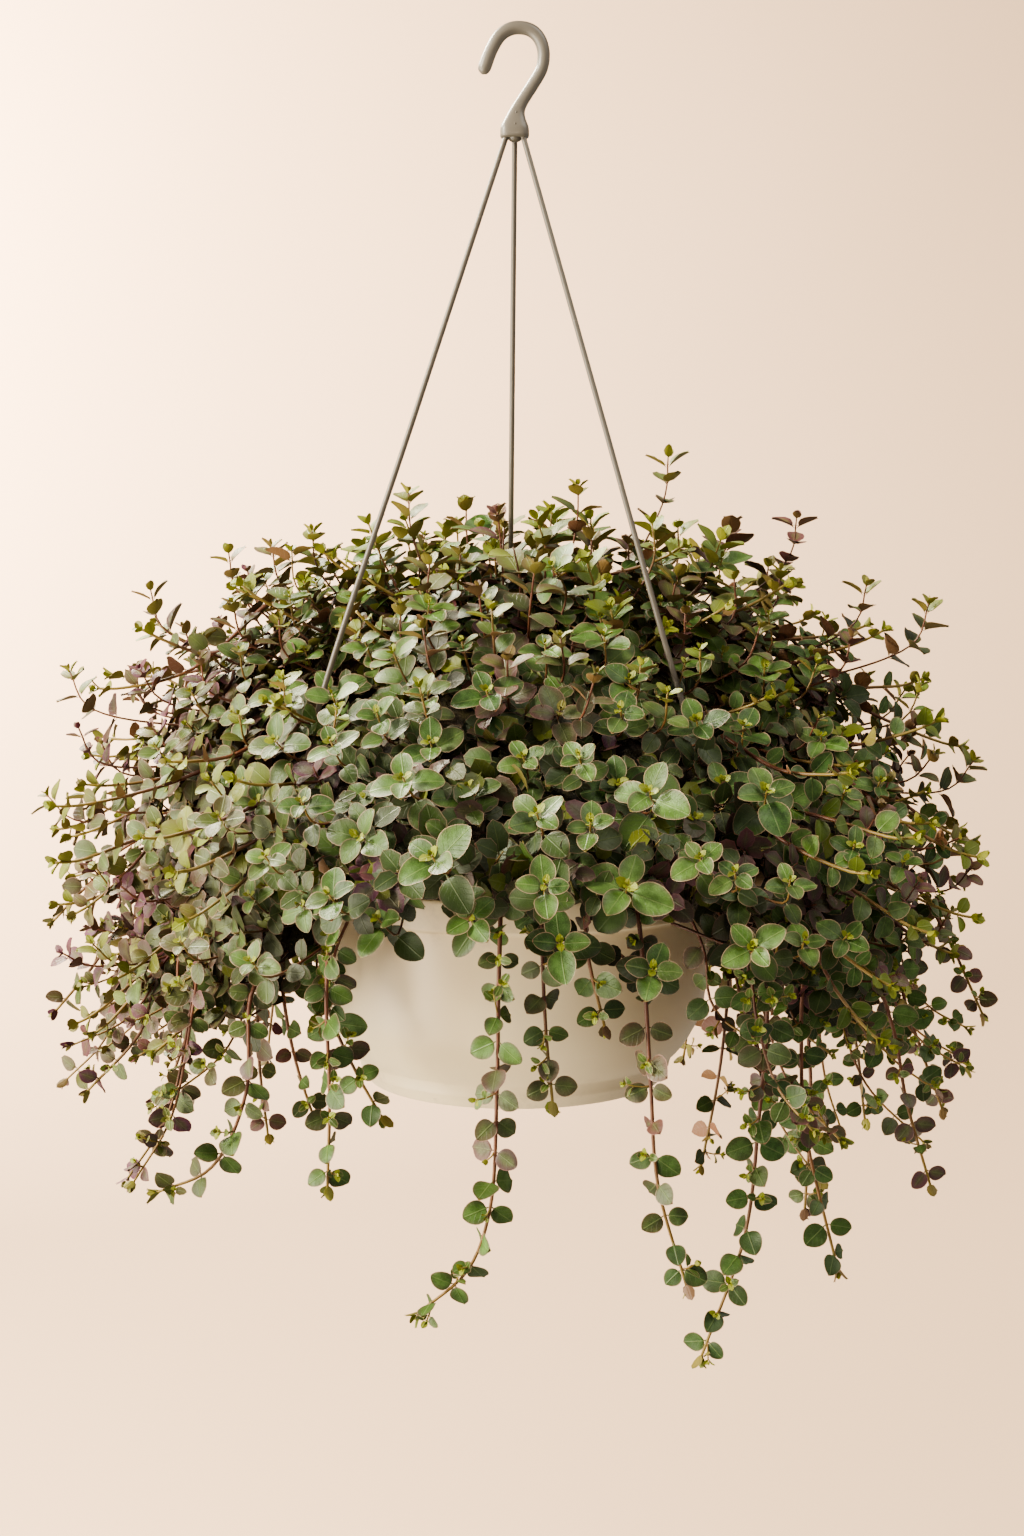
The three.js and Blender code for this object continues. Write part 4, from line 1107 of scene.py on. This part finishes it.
# Nodes of a shoot: distance back from the tip, share of its leaf length, half width as a share of the
# leaf's own length, lean from the stem in degrees, age
ROSETTE = [
    (0.0, 0.19, 0.38, 20, 0.0), (1.4, 0.33, 0.42, 44, 0.08), (4.4, 0.82, 0.42, 68, 0.6),
    (7.5, 1.0, 0.43, 76, 0.85), (21, 1.0, 0.44, 80, 1.0), (36, 0.9, 0.44, 84, 1.0),
    (52, 0.85, 0.45, 88, 1.0),
]
SPRIG = [
    (0.0, 0.3, 0.36, 18, 0.0), (1.6, 0.58, 0.37, 40, 0.15), (6.5, 0.95, 0.39, 54, 0.38),
    (17, 1.1, 0.4, 62, 0.5), (30, 1.15, 0.42, 70, 0.65), (44, 1.15, 0.43, 76, 0.85),
]
RUNNER_GAP = 17
CROWN_LIFT = 26
MAUVE_SPRIG = (175, 30, -287)

# Heights a curtain stem passes: where it is rooted, where it leaves the mound and where it swings out
CURTAIN_ROOT = -505
CURTAIN_EDGE = -535
CURTAIN_TURN = -560

# How many random places are tried for shoots and litter
OUTER_TRIES = 9000
INNER_TRIES = 6000
SPRIG_TRIES = 9000
LITTER_TRIES = 3000


def core_root(tip):
    """Where a shoot leaves the thicket on its way to its tip."""
    heart = np.array([0, MOUND_BACK, min(MOUND_BASE, tip[2])])
    share = 1.0
    while share > 0.12 and not in_core(lerp(heart, tip, share)):
        share -= 0.02
    return lerp(heart, tip, share - 0.06)


def shoot(foliage, tip, axis, size, nodes, painted_shade_base=0.0, blush=0.0, grade="plain", thick=0.75, fresh=False):
    """A leafy shoot from the thicket to its tip."""
    root = core_root(tip)
    if np.linalg.norm(tip - root) < 14:
        root = tip - axis * 22
    reach = np.linalg.norm(tip - root)
    middle = tip - axis * min(20, 0.5 * reach) - UP * 0.05 * reach
    line = smooth_line([root, middle, tip], 6)
    if any(hides_strand(p, 3) for p in line[1:]):
        return
    total = line_length(line)
    ages = (1.0, 0.6 if blush else 0.2)
    # Painted shade on the stem, heavy at its root inside the mound
    foliage.stem(line, thick * 1.2, thick * 0.65, ages, (min(1, painted_shade_base + 0.9), painted_shade_base + 0.15), 5)
    start = random.uniform(0, math.pi)
    light = unit(axis * 0.8 + light_at(tip))
    tone = random.uniform(0.1, 0.9)
    for k, (back, share, slim, lean, age) in enumerate(nodes):
        if back > total:
            break
        age = age * 0.35 if fresh else age
        at, tangent = stem_at(line, back)
        # Painted shade: leaves further back from the tip are darker, sooner at the front
        shade = min(1.0, painted_shade_base + max(0, back - 9) / lerp(52, 20, front_share(tip)))
        turn = 0.1 if k < 2 else 0.42
        kind = "small" if k < 2 else (grade if k < 5 else "plain")
        across = across_stem(tangent, start + k * math.pi / 2 + random.normal(0, 0.15))
        pair(foliage, at, tangent, across, size * share, slim, lean, light, turn, age, blush, shade, tone,
             kind)


def runner(foliage, route, leaf, thick=1.4):
    """A long arching stem at the side of the mound, with small leaves in pairs all along it."""
    line = smooth_line(route, 6)
    total = line_length(line)
    # Painted shade on the stem, half at its root and none at its tip
    foliage.stem(line, thick, thick * 0.6, (1.0, 0.1), (0.5, 0.0), 6)
    spin = random.uniform(0, math.pi)
    tone = random.uniform(0, 0.9)
    back, k = 0.0, 0
    while back < total - 12:
        at, tangent = stem_at(line, back)
        light = unit(light_at(at) + 0.35 * UP)
        length = leaf * (0.42, 0.66, 0.85)[k] if k < 3 else leaf * random.uniform(0.9, 1.25)
        age = (0.0, 0.1, 0.35)[k] if k < 3 else random.uniform(0.42, 1.0)
        across = across_stem(tangent, spin + k * math.pi / 2 + random.normal(0, 0.15))
        pair(foliage, at, tangent, across, length, 0.4 if k < 2 else 0.43, 30 if k < 2 else 60, light,
             0.15 if k < 2 else 0.5, age, 0.0, 0.0, tone, "small" if k < 2 else "plain")
        back += 2.4 if k == 0 else (7 if k == 1 else RUNNER_GAP * random.uniform(0.85, 1.15))
        k += 1


def trail(foliage, route, leaf, gap, thick=1.4, grade="plain"):
    """A hanging stem: round leaves in pairs, turned outwards, twigs at some nodes, a rosette at its tip."""
    line = smooth_line(route, 6)
    inside = float(np.linalg.norm(np.array(route[1]) - route[0]))
    total = line_length(line)
    # Painted shade on the stem, half at its root and none at its tip
    foliage.stem(line, thick, thick * 0.6, (1.0, 0.25), (0.5, 0.0), 7)
    spin = random.uniform(0, math.pi)
    tone = random.uniform(0.1, 0.8)
    ruddy = random.random() < 0.4
    back, k = 0.0, 0
    while back < total - inside * 0.5:
        at, tangent = stem_at(line, back)
        light = unit(light_at(at) * [1, 1, 0.7])
        length = leaf * ((0.36, 0.6, 0.85)[k] if k < 3 else random.uniform(0.75, 1.12))
        age = (0.05, 0.3, 0.6)[k] if k < 3 else random.uniform(0.75, 1.0)
        blush = sometimes(0.6 if ruddy else 0.28, 0.2, 0.75)
        across = across_stem(tangent, spin + k * math.pi / 2 + random.normal(0, 0.2))
        # Each pair gets some painted shade at random
        pair(foliage, at, tangent, across, length, 0.38 if k < 2 else 0.46, 28 if k < 2 else 66, light,
             0.2 if k < 2 else 0.75, age, blush, random.uniform(0.05, 0.4), tone, "small" if k < 2 else grade,
             0.5)
        if k > 1 and random.random() < 0.6:
            twig(foliage, at, light)
        back += 2.8 if k == 0 else (8 if k == 1 else gap * random.uniform(0.78, 1.12))
        k += 1


def twig(foliage, at, light):
    """A short side shoot with two or three pairs of small leaves."""
    reach = random.uniform(5, 15)
    tip = at + unit(light * [1, 1, 0.2] + random.normal(0, 0.55, 3)) * reach
    if hides_strand(tip, 8):
        return
    line = smooth_line([at, (at + tip) / 2 - UP * 0.8, tip], 3)
    foliage.stem(line, 0.55, 0.4, (0.45, 0.0))
    spin = random.uniform(0, math.pi)
    tangent = unit(tip - at)
    for k, (back, size, lean, age) in enumerate(((0, 2.6, 18, 0.0), (1, 4.2, 40, 0.15), (5, 6.5, 60, 0.5))):
        if back < reach - 2:
            point, _ = stem_at(line, back)
            pair(foliage, point, tangent, across_stem(tangent, spin + k * math.pi / 2), size, 0.4, lean,
                 light, 0.3, age, 0.0, 0.0, 0.5, "small")


def wild_tip(share, floor):
    """A random place on the mound or its skirt; the share says how far out it is."""
    azimuth = random.uniform(-180, 180)
    level = random.uniform(-0.4, 1)
    tip = mound_point(azimuth, max(0, level) ** 0.8, random.uniform(*share))
    if level < 0:
        tip[2] += (skirt_bottom(azimuth) + floor - MOUND_BASE) * (level / -0.4)
    return tip, azimuth, level


def far_enough(tips, tip, gap):
    """Whether a tip keeps its gap to all the others."""
    return not tips or np.linalg.norm(np.array(tips) - tip, axis=1).min() >= gap


def front_share(p):
    """From 0 at the middle and back of the mound to 1 at its front."""
    return ease(-p[1], 40, 190)


def grow_listed(clumps):
    """The rosettes and sprigs whose places are listed."""
    for x, y, z, size in ROSETTES:
        tip = np.array([x, y, z], float)
        axis = unit(surface_normal(tip) * 0.45 + light_at(tip) + random.normal(0, 0.12, 3))
        shoot(clumps[clump_at(tip)], tip, axis, size, ROSETTE, grade="fine", thick=0.85)
    for spot in SPRIGS:
        tip = np.array(spot, float)
        axis = unit(surface_normal(tip) + UP * 0.45)
        blush = 0.8 if spot == MAUVE_SPRIG else 0.2
        shoot(clumps[clump_at(tip)], tip, axis, 14, SPRIG, thick=0.8, blush=blush)


def grow_outer(clumps):
    """Rosettes all over the mound, wherever the listed ones leave room."""
    tips = [np.array(row[:3], float) for row in ROSETTES]
    for _ in range(OUTER_TRIES):
        tip, azimuth, level = wild_tip((0.87, 1.0), -14)
        tip[2] += ease(level, 0.15, 0.6) * random.uniform(0.2, 0.9) * CROWN_LIFT
        tip[0] -= 10 * ease(tip[0], 180, 250)
        front = front_share(tip)
        aside = ease(off_front(azimuth), 50, 75) * ease(level, 0.6, 0.3)
        tip = lerp(tip, [0, MOUND_BACK, tip[2]], 0.06 * aside)
        tip = lerp(tip, [0, MOUND_BACK, MOUND_BASE], 0.07 * front)
        crown = ease(level, 0.4, 0.7) * (1 - front)
        if not far_enough(tips, tip, lerp(lerp(31, 35, front), 37, crown)):
            continue
        tips.append(tip)
        axis = unit(surface_normal(tip) * 0.7 + light_at(tip) * 0.75 + random.normal(0, 0.2, 3))
        size = lerp(lerp(16.5, 17, front), 18.5, crown) * random.uniform(0.75, 1.15)
        blush = sometimes(0.07, 0.35, 0.8)
        # Rosettes at the front get some painted shade
        shoot(clumps[clump_at(tip)], tip, axis, size, ROSETTE, blush=blush, fresh=random.random() < 0.06,
              painted_shade_base=front * random.uniform(0.1, 0.45), grade="fine" if front > 0.3 else "plain")


def grow_inner(clumps):
    """Shoots with painted shade that fill the space behind the outer ones."""
    inner = []
    for _ in range(INNER_TRIES):
        tip, _, level = wild_tip((0.8, 0.9), 0)
        crown = ease(level, 0.4, 0.7)
        if not far_enough(inner, tip, lerp(27, 34, crown) * lerp(1, 0.86, front_share(tip))):
            continue
        inner.append(tip)
        axis = unit(surface_normal(tip) + light_at(tip) * 0.5 + random.normal(0, 0.35, 3))
        blush = sometimes(0.22, 0.4, 0.9)
        # Painted shade, less at the crown
        shoot(clumps[clump_at(tip)], tip, axis, random.uniform(14, 19), ROSETTE[2:6],
              painted_shade_base=lerp(0.55, 0.3, crown), blush=blush)


def grow_sprigs(clumps):
    """Upright sprigs out of the crown, and a few at the sides, between the listed ones."""
    sprigs = [np.array(spot, float) for spot in SPRIGS]
    for _ in range(SPRIG_TRIES):
        tip, azimuth, level = wild_tip((0.98, 1.08), 0)
        side = ease(off_front(azimuth), 45, 75)
        crown = ease(level, 0.3, 0.65)
        tip[2] += crown * random.uniform(0, CROWN_LIFT)
        if max(side * 0.22, crown) < random.random() or not far_enough(sprigs, tip, lerp(40, 32, crown)):
            continue
        sprigs.append(tip)
        axis = unit(surface_normal(tip) * 0.9 + UP * 0.4 + light_at(tip) * 0.3 + random.normal(0, 0.24, 3))
        blush = sometimes(0.65, 0.25, 0.75)
        size = lerp(12, 17, crown) * random.uniform(0.8, 1.1)
        shoot(clumps[clump_at(tip)], tip, axis, size, SPRIG, thick=0.9, blush=blush)


def grow_litter(clumps):
    """Single leaves with painted shade close over the thicket, seen between the shoots."""
    for _ in range(LITTER_TRIES):
        tip, _, level = wild_tip((0.77, 0.86), 6)
        outward = unit(surface_normal(tip) + random.normal(0, 0.45, 3))
        along = unit(np.cross(outward, random.normal(0, 1, 3)) - 0.5 * UP)
        if hides_strand(tip, 14):
            continue
        length = random.uniform(10, 17)
        blush = sometimes(0.25, 0.4, 1)
        age = random.uniform(0.1, 1)
        # Painted shade, less at the crown
        depth = random.uniform(0.45, 0.9) * lerp(1, 0.5, ease(level, 0.4, 0.7))
        clumps[clump_at(tip)].leaf(tip, along, outward, length, length * 0.43, age, blush, depth,
                                   random.random(), "small", 0.2, 0.4, 0.1)


def grow_runners(clumps):
    """Stems that reach out through the sides like a fan, droop a little and turn up at their tips."""
    for side in (-1, 1):
        for rise in np.linspace(0, 1, 9):
            for azimuth in np.arange(46, 176, 16):
                azimuth = side * (azimuth + random.uniform(-7, 7))
                beyond = random.uniform(0.98, lerp(1.14, 1.06, ease(off_front(azimuth), 100, 150)))
                if rise < 0.4:
                    level = lerp(skirt_bottom(azimuth) - 25, MOUND_BASE, rise / 0.4)
                    end = mound_point(azimuth, 0, beyond * lerp(0.93, 1, rise / 0.4)) * [1, 1, 0] + UP * level
                else:
                    end = mound_point(azimuth, 0.75 * (rise - 0.4) / 0.6, beyond)
                outward = unit(polar(1, azimuth, 0))
                heading = unit(outward + UP * (lerp(-0.85, 0.5, rise) + random.normal(0, 0.14)))
                reach = random.uniform(75, 125)
                start = end - heading * reach + random.normal(0, 7, 3)
                route = [start, end - heading * reach * 0.5 - UP * random.uniform(2, 8),
                         end - heading * 13 - UP * 3.5, end]
                runner(clumps[clump_at(end)], route, random.uniform(10.5, 13.5))


def grow_curtain(clumps):
    """Shorter hanging stems along the skirt, between the long ones, that swing outwards at their ends."""
    flat = np.array([1, 1, 0])
    for turn in range(2):
        for azimuth in np.arange(-178, 180, 7):
            a = azimuth + random.uniform(-3.5, 3.5) + 3.5 * turn
            off = off_front(a)
            if off < 33 or (-125 < a < -33 and random.random() < 0.3):
                continue
            near = ease(off, 105, 50)
            radius = mound_reach(a) * random.uniform(0.6 if turn else 0.74, 0.9)
            bottom = skirt_bottom(a) - random.uniform(10, lerp(60, 115, near))
            foot = polar(radius, a, 0) + [0, MOUND_BACK, 0]
            room = 1.07 * mound_reach(a) - radius
            out = unit(polar(1, a, 0)) * min(room, random.uniform(0.1, 0.75) * (-520 - bottom) + 6)
            route = [foot * 0.88 * flat + UP * CURTAIN_ROOT, foot + UP * CURTAIN_EDGE,
                     foot + out * 0.12 + UP * CURTAIN_TURN,
                     foot + out * 0.45 + UP * lerp(CURTAIN_TURN, bottom, 0.65), foot + out + UP * bottom]
            trail(clumps[clump_at(foot)], route, random.uniform(10.5, 14.5), random.uniform(15, 19), 1.05)


def thicket_sector(low, high):
    """The part of the mound's dark inside that belongs to one clump."""
    columns = max(3, round((high - low) / 5))
    azimuths = np.linspace(low, high, columns + 1)
    rough = np.random.default_rng(THICKET_SEED)
    rows = []
    for climb in (0.98, 0.9, 0.8, 0.7, 0.6, 0.5, 0.4, 0.3, 0.2, 0.1, 0.0):
        rows.append([mound_point(a, climb, CORE_SHARE) for a in azimuths])
    for share in (0.35, 0.7, 1.0):
        drop = [lerp(MOUND_BASE, skirt_bottom(a) + 16, share) for a in azimuths]
        rows.append([mound_point(a, 0, CORE_SHARE - 0.05 * share) * [1, 1, 0] + UP * z
                     for a, z in zip(azimuths, drop)])
    rows.append([polar(OVER_RIM, a, min(skirt_bottom(a) + 24, RIM_TOP + 8)) for a in azimuths])
    rows.append([polar(WITHIN_RIM, a, RIM_TOP + 4) for a in azimuths])
    points = np.array(rows)
    points[1:-2] += rough.normal(0, 2.4, points[1:-2].shape)
    wide = columns + 1
    loops = []
    for j in range(len(rows) - 1):
        for k in range(columns):
            loops += [j * wide + k, (j + 1) * wide + k, (j + 1) * wide + k + 1, j * wide + k + 1]
    flat = points.reshape(-1, 3)
    totals = np.full(len(loops) // 4, 4)
    marks = np.full(len(totals), THICKET_MARK)
    return flat, np.array(loops), totals, marks, {key: np.zeros(len(flat)) for key in LEAF_TRAITS}


def make_plant():
    """Each clump with its part of the thicket, and each trailing stem, as pieces of their own."""
    clumps = [Foliage() for _ in CLUMP_CUTS]
    grow_listed(clumps)
    grow_outer(clumps)
    grow_inner(clumps)
    grow_sprigs(clumps)
    grow_litter(clumps)
    grow_runners(clumps)
    grow_curtain(clumps)
    cuts = CLUMP_CUTS + [CLUMP_CUTS[0] + 360]
    for i, foliage in enumerate(clumps):
        piece = foliage.build(f"clump_{i + 1}_shoots", [thicket_sector(cuts[i], cuts[i + 1])])
        dress(piece, f"clump_{i + 1}")
    for i, route in enumerate(TRAILS):
        foliage = Foliage()
        front = route[1][1] < -100
        trail(foliage, route, 14.5 if front else 13, 17, grade="fine" if front else "plain")
        piece = foliage.build(f"trailing_stem_{i + 1:02d}_leafy")
        dress(piece, f"trailing_stem_{i + 1:02d}")


# Studio


def make_room():
    """A pale floor that sweeps up into a plain wall all round."""
    steps, floor, sweep = 96, -1900, 2600
    turns = np.linspace(0.1, math.pi / 2, 18)
    profile = [(1000, floor), (1900, floor)]
    profile += [(1900 + sweep * math.sin(a), floor + sweep - sweep * math.cos(a)) for a in turns]
    profile += [(1900 + sweep, 1500), (1900 + sweep, 3500)]
    points = [polar(r, 360 * k / steps, z) for r, z in profile for k in range(steps)]
    points.append(np.array([0, 0, floor]))
    faces = [[len(points) - 1, k, (k + 1) % steps] for k in range(steps)]
    faces += ring_faces(len(profile), steps)
    room = mesh_piece("studio_floor", points, faces, make_studio())
    room.visible_diffuse = False
    room.visible_glossy = False
    room.visible_shadow = False


def area_light(name, at, size, watts, colour, target=(0, 0, -0.42)):
    """A round soft lamp, in metres, that points at its target."""
    data = bpy.data.lights.new(name, "AREA")
    data.shape = "DISK"
    data.size = size
    data.energy = watts
    data.color = colour
    lamp = stand(name, data)
    lamp.location = at
    lamp.rotation_euler = (Vector(target) - Vector(at)).to_track_quat("-Z", "Y").to_euler()
    lamp.visible_camera = False


def make_lights():
    """A soft sky, a window's light from the left, a fill, a light from behind and lamps on the wall."""
    world = bpy.data.worlds.new("soft sky")
    world.use_nodes = True
    sky = world.node_tree.nodes["Background"]
    sky.inputs["Color"].default_value = (1.0, 0.91, 0.8, 1)
    sky.inputs["Strength"].default_value = 0.48
    bpy.context.scene.world = world
    area_light("key", (-2.3, -0.8, 1.0), 0.6, 300, (1.0, 0.91, 0.74))
    area_light("low_key", (-2.7, -1.0, -1.15), 3.0, 390, (1.0, 0.89, 0.71), (0, 0, -0.56))
    area_light("fill", (1.6, -0.9, 1.9), 1.8, 78, (1.0, 0.92, 0.8), (0.1, 0, -0.4))
    area_light("rim", (-1.3, 1.3, 1.2), 0.6, 310, (1.0, 0.9, 0.7))
    area_light("wall_wash_left", (-3.0, 2.4, 0.7), 1.2, 3000, (1.0, 0.89, 0.76), (-3.6, 4.5, 0.6))
    area_light("wall_wash_wide", (-1.6, 1.0, -0.4), 3.0, 300, (1.0, 0.89, 0.76), (-1.6, 3.5, -1.9))


def make_camera():
    """The photograph's view."""
    data = bpy.data.cameras.new("camera")
    data.lens = CAMERA_LENS
    data.sensor_width = 36
    data.shift_y = CAMERA_SHIFT
    camera = stand("camera", data)
    camera.location = [v * MM for v in CAMERA_AT]
    camera.rotation_euler = (math.radians(90 - CAMERA_PITCH), 0, 0)
    bpy.context.scene.camera = camera


make_camera()
make_lights()
make_room()
make_pot()
make_soil()
make_strands()
make_hook()
make_plant()
